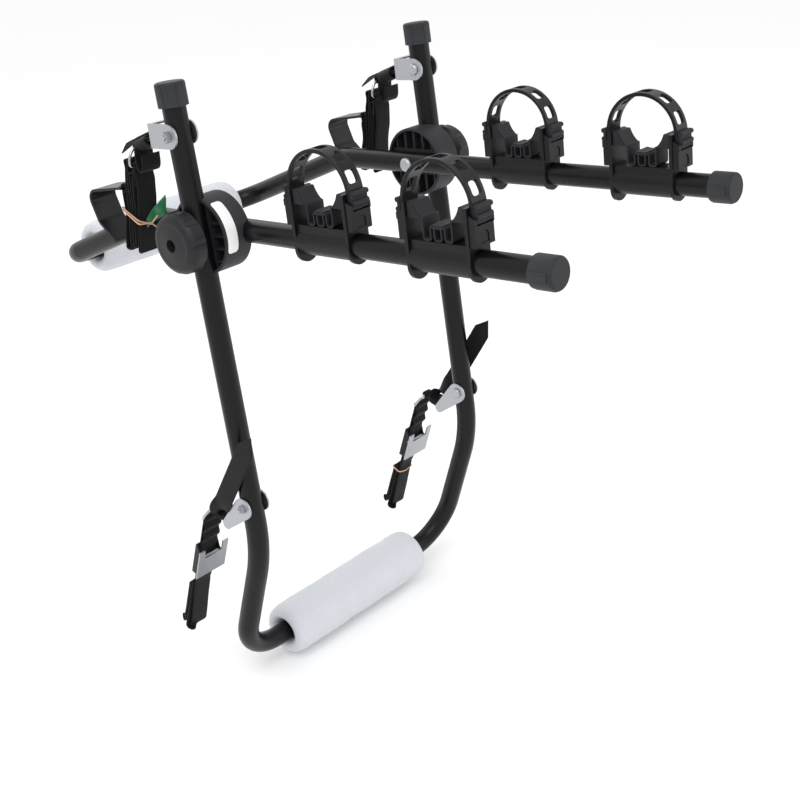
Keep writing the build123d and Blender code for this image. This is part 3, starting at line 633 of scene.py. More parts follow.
class RackStage(bpy.types.PropertyGroup):
    """Floor, light and camera."""

    floor_colour: bpy.props.FloatVectorProperty(
        name="Floor", description="Colour of the plain floor", subtype="COLOR",
        default=(0.97, 0.97, 0.97), min=0, max=1)
    key_power: bpy.props.FloatProperty(
        name="Key light", description="Power of the large key light", unit="POWER",
        default=22.0, min=0, max=500)
    fill_power: bpy.props.FloatProperty(
        name="Fill light", description="Power of the fill light", unit="POWER",
        default=7.0, min=0, max=500)
    focal_length: bpy.props.FloatProperty(
        name="Focal length", description="Camera lens", unit="CAMERA",
        default=58.95, min=10, max=200)


# Operators, one for each group of pieces


class RACK_OT_metal_frames(bpy.types.Operator):
    """Powder coat the two bent frames and finish their rubber caps"""

    bl_idname = "rack.metal_frames"
    bl_label = "Frames and caps"

    def execute(self, context):
        finishes = context.scene.rack_finishes
        paint(powder_coat(finishes.frame_colour), "leg_frame", "arm_frame")
        rubber = moulded_plastic(
            "cap_rubber", finishes.cap_colour, 0.55, grain_scale=1500.0, grain_strength=0.12)
        paint(rubber, *sided("leg_cap", "arm_cap"))
        return {"FINISHED"}


class RACK_OT_hubs(bpy.types.Operator):
    """Finish the hub halves, knobs, nuts and hub bolts"""

    bl_idname = "rack.hubs"
    bl_label = "Hubs and knobs"

    def execute(self, context):
        finishes = context.scene.rack_finishes
        hub = moulded_plastic(
            "hub_plastic", finishes.hub_colour, 0.55, grain_scale=1300.0, grain_strength=0.35)
        paint(hub, *sided("hub_outer", "hub_inner"))
        knob = moulded_plastic(
            "knob_plastic", finishes.knob_colour, 0.42, grain_scale=1900.0, grain_strength=0.08)
        paint(knob, *sided("knob"))
        zinc = zinc_plate(finishes.zinc_colour)
        paint(zinc, "hub_bolts", "bracket_bolts")
        paint(zinc, *sided("knob_nut", "strap_bracket_upper", "strap_bracket_lower", "buckle_lever"))
        return {"FINISHED"}


class RACK_OT_cradles(bpy.types.Operator):
    """Finish the cradles with their cushions, ladder straps and latches"""

    bl_idname = "rack.cradles"
    bl_label = "Cradles"

    # A cushion's section, with heights over the arm's middle line: the bore that holds a
    # bike's tube, and the cradle's walls beside the lobes
    bore_radius = 0.0285
    bore_height = 0.062
    wall_inside = 0.03495
    wall_top = 0.054
    wall_foot = 0.039

    # The lobes and the middle block, with places on the bore in degrees from its lowest point
    lobe_start = 73.6
    lobe_turn = 37.2
    lobe_steps = 14
    lobe_edge = 0.0007
    block_angles = (-15.5, -10, -5, 0, 5, 10, 15.5)
    block_foot = (0.0066, 0.0303)
    block_edge = 0.0006

    # The open folds under them
    fold_skin = 0.0022
    fold_floor = 0.0195
    fold_crest = 0.0325
    fold_end = 0.040
    fold_pitch = 0.013
    fold_half = 0.00425
    fold_corner = 0.0024
    corner_step = 0.0006
    point_gap = 0.0007
    crease_angle = 32

    def execute(self, context):
        finishes = context.scene.rack_finishes
        shell = moulded_plastic(
            "cradle_plastic", finishes.cradle_colour, 0.38, grain_scale=1700.0, grain_strength=0.08)
        cushion = moulded_plastic(
            "cushion_rubber", finishes.cushion_colour, 0.6, grain_scale=1200.0, grain_strength=0.15)
        strap = moulded_plastic(
            "ladder_plastic", finishes.cradle_colour, 0.34, grain_scale=2100.0, grain_strength=0.05)
        for key in CRADLES:
            paint(shell, f"cradle_base_{key}")
            paint(cushion, f"latch_front_{key}", f"latch_rear_{key}")
            paint(strap, f"ladder_strap_{key}")
            self.make_cushion(key, cushion)
        return {"FINISHED"}

    def make_cushion(self, key, rubber):
        """One rubber cushion: two side lobes and a middle block on three open folds."""
        low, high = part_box(f"cradle_cushion_{key}")
        half = (high[0] - low[0]) / 2
        hub = PIVOTS["arm_fold"]
        out, up = side_vector(180 - ARM_RISE), side_vector(90 - ARM_RISE)
        centre = Vector(((low[0] + high[0]) / 2, 0, 0))
        centre += Vector((0, hub.y, hub.z)) + out * CRADLES[key]

        def place(x, a, b):
            return centre + ACROSS * x + out * a + up * b

        def bore(angle):
            turn = radians(angle)
            return self.bore_radius * sin(turn), self.bore_height - self.bore_radius * cos(turn)

        builder = bmesh.new()
        turns = [self.lobe_start - self.lobe_turn * k / self.lobe_steps for k in range(self.lobe_steps + 1)]
        for hand in (-1, 1):
            outline = [(hand * self.wall_inside, self.wall_foot), (hand * self.wall_inside, self.wall_top)]
            outline += [bore(hand * turn) for turn in turns]
            extrude_outline(builder, outline, place, half, self.lobe_edge)
        across, foot = self.block_foot
        outline = [bore(angle) for angle in self.block_angles] + [(across, foot), (-across, foot)]
        extrude_outline(builder, outline, place, half, self.block_edge)
        folds = [place(0, a, b) for a, b in self.fold_outline()]
        path = spread(round_corners(folds, self.fold_corner, self.corner_step), self.point_gap)
        ribbon(path, [ACROSS] * len(path), [2 * half] * len(path), self.fold_skin, builder)
        bmesh.ops.recalc_face_normals(builder, faces=builder.faces)
        cushion = mesh_object(f"cushion_{key}", builder, rubber)
        cushion.data.set_sharp_from_angle(angle=radians(self.crease_angle))
        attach(cushion, "arm_frame")
        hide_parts(f"cradle_cushion_{key}")

    def fold_outline(self):
        """Corners of the three folds, from one wall of the cradle to the other."""
        pitch, half = self.fold_pitch, self.fold_half
        flat = [(-pitch - half, self.fold_end)]
        for step in (-1, 0, 1):
            flat += [(step * pitch - half, self.fold_floor), (step * pitch + half, self.fold_floor)]
            if step < 1:
                flat += [(step * pitch + half, self.fold_crest), ((step + 1) * pitch - half, self.fold_crest)]
        flat.append((pitch + half, self.fold_end))
        return flat


class RACK_OT_strap_hardware(bpy.types.Operator):
    """Finish the rings, hooks and buckle frames"""

    bl_idname = "rack.strap_hardware"
    bl_label = "Strap hardware"

    def execute(self, context):
        finishes = context.scene.rack_finishes
        paint(ring_wire(shaded(finishes.zinc_colour, 0.95)), *sided("strap_ring_upper", "strap_ring_lower"))
        colour = shaded(finishes.frame_colour, 1.2)
        coat = moulded_plastic("hook_coat", colour, 0.3, grain_scale=900.0, grain_strength=0.06)
        paint(coat, *sided("strap_hook", "buckle_frame"))
        return {"FINISHED"}


class RACK_OT_foam_pads(bpy.types.Operator):
    """Make the foam pads with their flared mouths and soft, uneven skin"""

    bl_idname = "rack.foam_pads"
    bl_label = "Foam pads"

    # A pad's end, as steps in from its end face: the mouth widens from the bore,
    # and the shoulder rounds off the outside
    end_depth = 0.016
    mouth = ((end_depth, 0.0), (0.006, 0.0022), (0.0008, 0.0062), (0.0, 0.010))
    shoulder = ((0.0, 0.009), (0.0022, 0.0032), (0.0075, 0.0004), (end_depth, 0.0))
    run_steps = 26
    segments = 72

    # The uneven skin, which leaves the mouths alone
    lump_scale = 34.0
    ripple_scale = 90.0
    ripple_share = 0.5
    lump_height = 0.0009
    lump_limit = 0.0006
    mouth_height = 0.005

    def execute(self, context):
        scene = context.scene
        skin = foam_skin(scene.rack_finishes.foam_colour)
        for name, body in (("lower_pad", "leg_frame"), ("upper_pad", "arm_frame")):
            self.make_pad(name, body, scene.rack_sizes, skin)
        return {"FINISHED"}

    def make_pad(self, name, body, sizes, skin):
        """One pad, turned from its profile and then made uneven."""
        low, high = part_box(name)
        centre = (Vector(low) + Vector(high)) / 2
        half = (high[0] - low[0]) / 2
        bore, outer = sizes.foam_bore, sizes.foam_radius - self.lump_limit
        builder = bmesh.new()
        rings = []
        for along, radius in self.profile(half, bore, outer):
            ring = []
            for k in range(self.segments):
                turn = 2 * pi * k / self.segments
                radial = Vector((0, cos(turn), sin(turn)))
                point = Vector((along, radius * cos(turn), radius * sin(turn)))
                lump = value_noise.noise(point * self.lump_scale + centre * 7.0)
                lump += self.ripple_share * value_noise.noise(point * self.ripple_scale + centre * 3.0)
                push = self.lump_height * lump if radius > bore + self.mouth_height else 0.0
                ring.append(builder.verts.new(centre + point + radial * min(push, self.lump_limit)))
            rings.append(ring)
        rings.append(rings[0])
        for ring_a, ring_b in zip(rings, rings[1:]):
            for k in range(self.segments):
                follow = (k + 1) % self.segments
                builder.faces.new((ring_a[k], ring_a[follow], ring_b[follow], ring_b[k]))
        bmesh.ops.recalc_face_normals(builder, faces=builder.faces)
        pad = mesh_object(f"foam_{name}", builder, skin)
        smoother = pad.modifiers.new("smooth", "SUBSURF")
        smoother.levels = smoother.render_levels = 1
        apply_modifiers(pad)
        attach(pad, body)
        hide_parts(name)

    def profile(self, half, bore, outer):
        """Places along the pad and radii there, from one bore end round the outside to the other."""
        end = [(-half + inset, bore + rise) for inset, rise in self.mouth]
        end += [(-half + inset, outer - drop) for inset, drop in self.shoulder]
        start, run = -half + self.end_depth, 2 * half - 2 * self.end_depth
        straight = [(start + run * i / self.run_steps, outer) for i in range(1, self.run_steps)]
        return end + straight + [(-along, radius) for along, radius in reversed(end)]


class RACK_OT_webbing(bpy.types.Operator):
    """Make the ties and the folded straps from flat webbing"""

    bl_idname = "rack.webbing"
    bl_label = "Webbing"

    # Shared: corners of a fold, the gap between points, and a ply's place and
    # thickness as shares of the webbing's thickness
    fold_corner = 0.0017
    corner_step = 0.0005
    point_gap = 0.0008
    ply_share = 0.56
    folded_share = 0.94
    thin_share = 0.85

    # Ties: both laps, as shares of the reach from bracket to ring and of a ply, and the
    # neck in the ring, which widens up to the tie's middle
    tie_laps = ((0.52, 1.0), (0.56, 1.02))
    tie_middle = 0.5
    tie_neck = 0.0104
    neck_slack = 0.0005
    tie_gap = 0.0009
    tie_ripple = 0.0003

    # Upper ties: one loose turn round the middle, as half sizes at its start and their growth
    wrap_place = 0.58
    wrap_steps = 63
    wrap_start = -0.2 * pi
    wrap_turn = 2.4 * pi
    wrap_wide = (0.0128, 0.0012)
    wrap_high = (0.0056, 0.0022)
    wrap_slant = 0.16
    wrap_width = 0.0245
    wrap_share = 0.9

    # Upper ties: the wad that hangs at the ring as (towards the car, up), and the
    # pointed tip over it as (along the tie, up from it)
    wad_off = 0.0006
    wad = (
        (-0.0240, 0.0080), (-0.0100, 0.0030), (-0.0080, -0.0100), (-0.0105, -0.0205), (-0.0155, -0.0240),
        (-0.0195, -0.0180), (-0.0190, -0.0050),
    )
    tip = ((-0.014, 0.0064), (0.0, 0.0066), (0.012, 0.0058), (0.034, 0.0006))
    tip_width = 0.016
    tip_blunt = 0.06
    tip_taper = 0.5
    tip_gap = 0.001

    # Lower ties: the free tail as (along the tie, along the tail, up from the tie, outwards)
    tail_route = (
        (-0.010, 0.0, 0.0034, 0.0), (0.0, 0.0, 0.0036, 0.001), (0.004, 0.010, 0.0, 0.010),
        (0.0, 0.030, 0.0, 0.0163), (0.0, 0.070, 0.0, 0.0169), (0.0, 0.110, 0.0, 0.0175),
        (0.0, 0.150, 0.0, 0.0173),
    )
    tail_twist = (0.02, 0.28)
    tail_blunt = 0.05
    tail_taper = 0.13
    tail_gap = 0.0011

    # Upper straps: their folds, and the eye of the hook in the last ply
    bundle_bottom = 0.099
    bundle_slip = 0.004
    bundle_tops = (0.008, -0.005)
    hook_drop = 0.028
    hook_ply = 0.007
    lap_length = 0.024
    lap_share = 1.05
    neck_share = 0.75
    ring_neck = 0.009
    hook_neck = 0.010

    # Upper straps: the folds that bulge at the top, the plies that spread about one of
    # them where the bands don't squeeze, and the first ply's belly
    bulge = 0.75
    bulge_reach = 0.52
    bulge_drop = 0.0025
    bulge_length = 0.0040
    loose_start = (0.004, 0.018)
    loose_spread = 0.24
    loose_middle = 2.2
    loose_ripple = 0.0005
    squeeze = 0.9
    squeeze_drop = 0.056
    squeeze_length = 0.015
    belly = 0.0012
    belly_depth = 0.0005
    belly_run = (0.006, 0.084)
    sway = 0.0022
    sway_start = (0.0, 0.02)
    hook_free = (0.002, 0.012)

    # Lower straps: their folds, where both plies end above the buckle, the gathers there,
    # and the plies that fan out and sway below it
    buckled_top = 0.112
    buckled_bottom = 0.190
    buckled_slip = 0.005
    buckled_ends = (0.006, 0.008)
    gather = 0.0016
    gather_run = (0.006, 0.040)
    gather_pitch = 0.017
    fan = 0.34
    fan_start = 0.004
    fan_middle = 1.5
    fan_ripple = 0.0006
    fan_sway = 0.0026
    sway_run = (-0.002, 0.010)
    sway_plies = 3.4
    sway_shift = 0.6
    sway_least = 0.4

    def execute(self, context):
        scene = context.scene
        self.weave = woven_webbing(scene.rack_finishes.webbing_colour)
        self.wide = scene.rack_sizes.webbing_width
        self.thick = scene.rack_sizes.webbing_thickness
        for side, sign in SIDES.items():
            for level in LEVELS:
                self.make_tie(level, side, sign)
            self.make_bundle(side, sign)
            self.make_buckled(side, sign)
        return {"FINISHED"}

    def hand_over(self, name, builder, body, node):
        """Finish one strap mesh and give it to its body."""
        bmesh.ops.recalc_face_normals(builder, faces=builder.faces)
        strap = mesh_object(name, builder, self.weave)
        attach(strap, body)
        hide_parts(node)

    def flat_ribbon(self, points, widths, share, builder=None):
        """A strap whose width runs across the rack, with its thickness as a share of the webbing's."""
        if not isinstance(widths, list):
            widths = [widths] * len(points)
        return ribbon(points, [ACROSS] * len(points), widths, self.thick * share, builder)

    def make_tie(self, level, side, sign):
        """One doubled tie between bracket bar and ring, with its loose end."""
        bar = PIVOTS[f"tie_swing_{level}_{side}"]
        ring = PIVOTS[f"strap_swing_{level}_{side}"]
        along, up = strap_axes(TIE_TILT[level])
        reach = (ring - bar).length
        ply = self.thick * self.ply_share
        foot = bar + along * (reach * self.tie_middle)
        first, last = (bar + along * (reach * a) - up * (ply * b) for a, b in self.tie_laps)
        points = [first] + eye_loop(bar, along, -up, EYE["bar"], ply) + [foot + up * ply]
        points += eye_loop(ring, -along, up, EYE["ring"], ply) + [last]
        points = spread(smooth_path(points, 6), self.tie_gap)
        widths = []
        for index, point in enumerate(points):
            away = smooth_step(EYE["bar"] - self.neck_slack, reach * self.tie_middle, (ring - point).length)
            widths.append(self.tie_neck + (self.wide - self.tie_neck) * away)
            ripple = wave(index * self.tie_gap, speed=90, seed=3 + sign)
            points[index] = point + up * (self.tie_ripple * ripple)
        builder = self.flat_ribbon(points, widths, 1.0)
        if level == "lower":
            self.add_tail(builder, foot, along, up, sign)
        else:
            self.add_wrap(builder, bar.lerp(ring, self.wrap_place), along, up, sign)
            self.add_wad(builder, ring, along, up, sign)
        tie = f"tie_{level}_{side}"
        self.hand_over(f"webbing_{tie}", builder, tie, f"strap_{tie}")

    def add_wrap(self, builder, middle, along, up, sign):
        """The upper tie's loose end, turned once round the tie."""
        points, sides = [], []
        for index in range(self.wrap_steps + 1):
            share = index / self.wrap_steps
            angle = self.wrap_start + self.wrap_turn * share
            wide, high = (start + growth * share for start, growth in (self.wrap_wide, self.wrap_high))
            points.append(middle + ACROSS * (sign * wide * sin(angle)) + up * (high * cos(angle)))
            sides.append((along + ACROSS * (self.wrap_slant * sin(angle * 0.5))).normalized())
        ribbon(points, sides, [self.wrap_width] * len(points), self.thick * self.wrap_share, builder)

    def add_wad(self, builder, ring, along, up, sign):
        """The rest of the upper tie's loose end: a wad at the ring, and a pointed tip past it."""
        hanging = [ring + Vector((self.wad_off * sign, y, z)) for y, z in self.wad]
        points = spread(smooth_path(hanging), self.tip_gap)
        self.flat_ribbon(points, self.wrap_width, self.folded_share, builder)
        points = spread(smooth_path([ring + along * a + up * b for a, b in self.tip]), self.tip_gap)
        count = len(points)
        shares = [max(self.tip_blunt, (count - 1 - i) / count / self.tip_taper) for i in range(count)]
        widths = [self.tip_width * min(1.0, share) for share in shares]
        self.flat_ribbon(points, widths, self.thin_share, builder)

    def add_tail(self, builder, foot, along, up, sign):
        """The free tail: it leaves the tie, turns flat and passes outside the upright."""
        away = ACROSS * sign
        tail = side_vector(TAIL_TILT)
        route = [foot + along * a + tail * t + up * u + away * w for a, t, u, w in self.tail_route]
        points = spread(smooth_path(route), self.tail_gap)
        flat_side = tail.cross(ACROSS)
        sides, widths = [], []
        for index in range(len(points)):
            share = index / (len(points) - 1)
            sides.append(away.lerp(flat_side, smooth_step(*self.tail_twist, share)).normalized())
            widths.append(self.wide * min(1.0, max(self.tail_blunt, (1 - share) / self.tail_taper)))
        ribbon(points, sides, widths, self.thick * self.thin_share, builder)

    def make_bundle(self, side, sign):
        """The upper strap, folded up under its ring, with the hook in its last eye."""
        origin = ring_bar_of("upper", side)
        down, out = strap_axes(STRAP_TILT["upper"])
        low, last = self.bundle_bottom, 4 * FOLD_PITCH + self.hook_ply
        slipped = low - self.bundle_slip
        low_top, high_top = self.bundle_tops
        hook = origin + down * self.hook_drop + out * last
        start = eye_loop(origin, down, out, EYE["ring_bar"], self.thick * 0.5)
        finish = eye_loop(hook, down, -out, EYE["hook"], self.thick * 0.5)
        lap = origin + down * self.lap_length + out * (self.thick * self.lap_share)
        lap_end = hook + down * self.lap_length - out * (self.thick * self.lap_share)
        start[0] = origin + down * self.ring_neck + out * (self.thick * self.neck_share)
        finish[-1] = hook + down * self.hook_neck - out * (self.thick * self.neck_share)
        flat = (
            (low, 0), (low, 1), (low_top, 1), (low_top, 2), (slipped, 2), (slipped, 3),
            (high_top, 3), (high_top, 4), (low, 4), (low, last / FOLD_PITCH),
        )
        places = [origin + down * a + out * (ply * FOLD_PITCH) for a, ply in flat]
        folded = round_corners([start[-1]] + places + [finish[0]], self.fold_corner, self.corner_step)
        points = spread([lap] + start + folded[1:-1] + finish + [lap_end], self.point_gap)
        for index, point in enumerate(points):
            a, b = (point - origin).dot(down), (point - origin).dot(out)
            push, shift = self.bundle_looseness(index, a, b, sign)
            free = smooth_step(*self.hook_free, (point - hook).length)
            points[index] = point + out * (push * free) + ACROSS * (shift * free)
        builder = self.flat_ribbon(points, self.wide, self.folded_share)
        self.hand_over(f"webbing_bundle_{side}", builder, f"strap_upper_{side}", f"strap_fold_upper_{side}")

    def bundle_looseness(self, index, a, b, sign):
        """How far a place on the upper strap's folds stands out and sideways from its plain path."""
        travelled = index * self.point_gap
        push = 0.0
        for top, middle in zip(self.bundle_tops, (1.5 * FOLD_PITCH, 3.5 * FOLD_PITCH)):
            if abs(b - middle) <= FOLD_PITCH * self.bulge_reach:
                push += self.bulge * (b - middle) * hump(a, top + self.bulge_drop, self.bulge_length)
        loose = smooth_step(*self.loose_start, a)
        loose *= 1 - self.squeeze * hump(a, self.squeeze_drop, self.squeeze_length)
        ripple = self.loose_ripple * wave(travelled, speed=60, seed=7 + sign)
        push += loose * (self.loose_spread * (b - self.loose_middle * FOLD_PITCH) + ripple)
        belly_start, belly_length = self.belly_run
        if b < self.belly_depth and belly_start < a < belly_start + belly_length:
            push -= self.belly * sin(pi * (a - belly_start) / belly_length) ** 2
        shift = self.sway * smooth_step(*self.sway_start, a) * wave(travelled, speed=19, seed=11 + sign)
        return push, shift

    def make_buckled(self, side, sign):
        """The lower strap, through its buckle and folded up below it."""
        origin = ring_bar_of("lower", side)
        down, out = strap_axes(STRAP_TILT["lower"])
        top, bottom = self.buckled_top, self.buckled_bottom
        slipped_top, slipped = top + self.buckled_slip, bottom - self.buckled_slip
        ply = self.thick * self.ply_share
        start = eye_loop(origin, down, out, EYE["ring_bar"], ply)
        flat = (
            (top, 0), (bottom, 0), (bottom, 1), (top, 1), (top, 2), (slipped, 2), (slipped, 3),
            (slipped_top, 3),
        )
        over, under = self.buckled_ends
        places = [origin + down * (top - under) - out * ply]
        places += [origin + down * a + out * (layer * FOLD_PITCH) for a, layer in flat]
        lap = origin + down * (top - over) + out * ply
        folded = round_corners([start[-1]] + places, self.fold_corner, self.corner_step)
        points = spread([lap] + start + folded[1:], self.point_gap)
        for index, point in enumerate(points):
            a, b = (point - origin).dot(down), (point - origin).dot(out)
            push, shift = self.buckled_looseness(index, a, b, sign)
            points[index] = point + out * push + ACROSS * shift
        builder = self.flat_ribbon(points, self.wide, self.folded_share)
        self.hand_over(f"webbing_strap_{side}", builder, f"strap_lower_{side}", f"strap_fold_lower_{side}")

    def buckled_looseness(self, index, a, b, sign):
        """How far a place on the lower strap stands out and sideways from its plain path."""
        push = 0.0
        gather_start, gather_end = self.gather_run
        if b < 0 and gather_start < a < gather_end:
            push -= self.gather * (1 - cos(2 * pi * (a - gather_start) / self.gather_pitch))
        loose = smooth_step(self.buckled_top + self.fan_start, self.buckled_bottom, a)
        ripple = self.fan_ripple * wave(index * self.point_gap, speed=40, seed=5 + sign)
        push += loose * (self.fan * (b - self.fan_middle * FOLD_PITCH) + ripple)
        swing = smooth_step(*(self.buckled_top + place for place in self.sway_run), a)
        swing *= cos(2 * pi * b / (self.sway_plies * FOLD_PITCH) + self.sway_shift)
        return push, self.fan_sway * swing * (self.sway_least + (1 - self.sway_least) * loose)


class RACK_OT_trims(bpy.types.Operator):
    """Add the blank label, the rubber bands and the film tag"""

    bl_idname = "rack.trims"
    bl_label = "Label, bands and tag"

    # The label on the near hub's rim, with its rounded ends and its edges close to the rim
    label_start = 112
    label_turn = 83
    label_steps = 40
    label_outside = -0.1885
    label_width = 0.014
    label_radius = 0.042
    label_ends = {0: 0.0022, 1: 0.0008, label_steps - 1: 0.0008, label_steps: 0.0022}
    label_lifts = ((0.0, 0.00002), (0.05, 0.00026), (0.5, 0.00028), (0.95, 0.00026), (1.0, 0.00002))

    # The tag, from under the band towards the arm, as a start and a change along it
    tag_columns = 32
    tag_rows = 8
    tag_across = (-0.003, 0.024)
    tag_drop = (0.066, -0.018)
    tag_spread = (0.010, 0.012)
    tag_out = (-0.0034, -0.006)
    tag_held = 0.3
    tag_crumple = 0.0016
    tag_thickness = 0.0002

    # The bands, each as its half width, the middle and half depth of the plies it holds, and
    # its corners as (side, front or back, distance below the ring)
    band_radius = 0.0009
    band_corner = 0.003
    band_gap = 0.001
    near_size = (0.0146, 0.0094, 0.0142)
    near_corners = (
        (-1, -1, 0.064), (0.2, -1, 0.0665), (1, -1, 0.058), (1, 1, 0.048), (0, 1, 0.050), (-1, 1, 0.053))
    cross_size = (0.0150, 0.0094, 0.0150)
    cross_corners = (
        (-1, -1, 0.060), (0.2, -1, 0.068), (1, -1, 0.079), (1, 1, 0.070), (0, 1, 0.058), (-1, 1, 0.050))
    far_size = (0.0146, 0.0050, 0.0070)
    far_corners = (
        (-1, -1, 0.121), (0, -1, 0.126), (1, -1, 0.123), (1, 1, 0.120), (0, 1, 0.122), (-1, 1, 0.119))

    def execute(self, context):
        finishes = context.scene.rack_finishes
        self.make_label(finishes)
        self.make_tag(finishes)
        rubber = thin_rubber(finishes.band_colour)
        self.make_band("upper_left", ("upper", "left"), self.near_corners, self.near_size, rubber)
        red = thin_rubber(shaded(finishes.band_colour, 0.75))
        self.make_band("upper_left_second", ("upper", "left"), self.cross_corners, self.cross_size, red)
        self.make_band("lower_right", ("lower", "right"), self.far_corners, self.far_size, rubber)
        return {"FINISHED"}

    def make_label(self, finishes):
        """A blank label bent round the near hub's rim."""
        hub = PIVOTS["arm_fold"]
        rows = []
        for index in range(self.label_steps + 1):
            angle = self.label_start + self.label_turn * index / self.label_steps
            ends = self.label_ends.get(index, 0.0)
            row = []
            for place, lift in self.label_lifts:
                x = self.label_outside + ends + (self.label_width - 2 * ends) * place
                row.append(Vector((x, hub.y, hub.z)) + side_vector(angle) * (self.label_radius + lift))
            rows.append(row)
        label = mesh_object("hub_label", sheet(rows), label_film("label_film", finishes.label_colour))
        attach(label, "leg_frame")

    def make_tag(self, finishes):
        """A thin crumpled film tag that the near band holds."""
        origin = ring_bar_of("upper", "left")
        down, out = strap_axes(STRAP_TILT["upper"])
        rows = []
        for i in range(self.tag_columns + 1):
            along = i / self.tag_columns
            across, drop, width = (
                start + change * along for start, change in (self.tag_across, self.tag_drop, self.tag_spread))
            out_start, out_change = self.tag_out
            reach = out_start + out_change * smooth_step(self.tag_held, 1.0, along)
            row = []
            for k in range(self.tag_rows + 1):
                side = k / self.tag_rows - 0.5
                crumple = value_noise.noise(Vector((along * 3.0, side * 2.0, 4.0)))
                crumple *= self.tag_crumple * smooth_step(self.tag_held, 0.5, along)
                row.append(origin + ACROSS * across + down * (drop + width * side) + out * (reach + crumple))
            rows.append(row)
        tag = mesh_object("band_tag", sheet(rows), label_film("tag_film", finishes.tag_colour))
        skin = tag.modifiers.new("skin", "SOLIDIFY")
        skin.thickness = self.tag_thickness
        apply_modifiers(tag)
        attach(tag, "strap_upper_left")

    def make_band(self, name, strap, corners, size, rubber):
        """One stretched band round a folded strap."""
        level, side = strap
        origin = ring_bar_of(level, side)
        down, out = strap_axes(STRAP_TILT[level])
        half, middle, deep = size
        ring = [origin + ACROSS * (half * x) + down * a + out * (middle + deep * b) for x, b, a in corners]
        seam = ring[-1].lerp(ring[0], 0.5)
        path = spread(round_corners([seam] + ring + [seam], self.band_corner), self.band_gap)
        band = mesh_object(f"band_{name}", round_loop(path[:-1], self.band_radius), rubber)
        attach(band, f"strap_{level}_{side}")


class RACK_OT_stitches(bpy.types.Operator):
    """Sew the laps of the straps with rows of thread"""

    bl_idname = "rack.stitches"
    bl_label = "Stitches"

    # Each lap's face and its box of stitches: out from the ring's bar, first and last row
    laps = {"upper": (-0.0021, 0.012, 0.022), "lower": (0.0021, 0.0075, 0.0330)}
    box_half = 0.010
    length_share = 0.62

    def execute(self, context):
        scene = context.scene
        sizes = scene.rack_sizes
        thread = sewing_thread(shaded(scene.rack_finishes.webbing_colour, 3.0))
        nodes = stitch_nodes(thread)
        values = {
            "Pitch": sizes.stitch_pitch,
            "Length": sizes.stitch_pitch * self.length_share,
            "Thread": sizes.thread_radius,
        }
        for side in SIDES:
            for level in LEVELS:
                lines = self.stitch_lines(level, side)
                sewn = mesh_object(f"stitches_{level}_{side}", lines, thread, smooth=False)
                repeat = sewn.modifiers.new("stitches", "NODES")
                repeat.node_group = nodes
                for item in nodes.interface.items_tree:
                    if item.in_out == "INPUT" and item.name in values:
                        repeat[item.identifier] = values[item.name]
                apply_modifiers(sewn)
                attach(sewn, f"strap_{level}_{side}")
        return {"FINISHED"}

    def stitch_lines(self, level, side):
        """A box with its two diagonals, left open at the sides, as edges for the stitches to follow."""
        down, out = strap_axes(STRAP_TILT[level])
        offset, first, last = self.laps[level]
        origin = ring_bar_of(level, side) + out * offset
        builder = bmesh.new()
        for near, far in ((0.0, 0.0), (0.0, 1.0), (1.0, 0.0), (1.0, 1.0)):
            ends = [
                builder.verts.new(origin + ACROSS * x + down * (first + (last - first) * share))
                for x, share in ((-self.box_half, near), (self.box_half, far))
            ]
            builder.edges.new(ends)
        return builder


def stitch_nodes(thread):
    """Nodes that put short threads at an even pitch along every edge."""
    tree = bpy.data.node_groups.new("stitches", "GeometryNodeTree")
    tree.interface.new_socket("Geometry", in_out="INPUT", socket_type="NodeSocketGeometry")
    for name in ("Pitch", "Length", "Thread"):
        socket = tree.interface.new_socket(name, in_out="INPUT", socket_type="NodeSocketFloat")
        socket.subtype = "DISTANCE"
        socket.min_value = 0.0001
    tree.interface.new_socket("Geometry", in_out="OUTPUT", socket_type="NodeSocketGeometry")
    source = tree.nodes.new("NodeGroupInput")
    result = tree.nodes.new("NodeGroupOutput")
    curve = tree.nodes.new("GeometryNodeMeshToCurve")
    resample = tree.nodes.new("GeometryNodeResampleCurve")
    resample.mode = "LENGTH"
    tangent = tree.nodes.new("GeometryNodeInputTangent")
    align = tree.nodes.new("FunctionNodeAlignRotationToVector")
    align.axis = "Z"
    shape = tree.nodes.new("GeometryNodeMeshCylinder")
    shape.inputs["Vertices"].default_value = 6
    place = tree.nodes.new("GeometryNodeInstanceOnPoints")
    realise = tree.nodes.new("GeometryNodeRealizeInstances")
    colour = tree.nodes.new("GeometryNodeSetMaterial")
    colour.inputs["Material"].default_value = thread
    for output, target in (
        (source.outputs["Geometry"], curve.inputs[0]),
        (curve.outputs[0], resample.inputs["Curve"]),
        (source.outputs["Pitch"], resample.inputs["Length"]),
        (resample.outputs[0], place.inputs["Points"]),
        (source.outputs["Length"], shape.inputs["Depth"]),
        (source.outputs["Thread"], shape.inputs["Radius"]),
        (shape.outputs["Mesh"], place.inputs["Instance"]),
        (tangent.outputs[0], align.inputs["Vector"]),
        (align.outputs[0], place.inputs["Rotation"]),
        (place.outputs[0], realise.inputs[0]),
        (realise.outputs[0], colour.inputs["Geometry"]),
        (colour.outputs[0], result.inputs[0]),
    ):
        tree.links.new(output, target)
    return tree


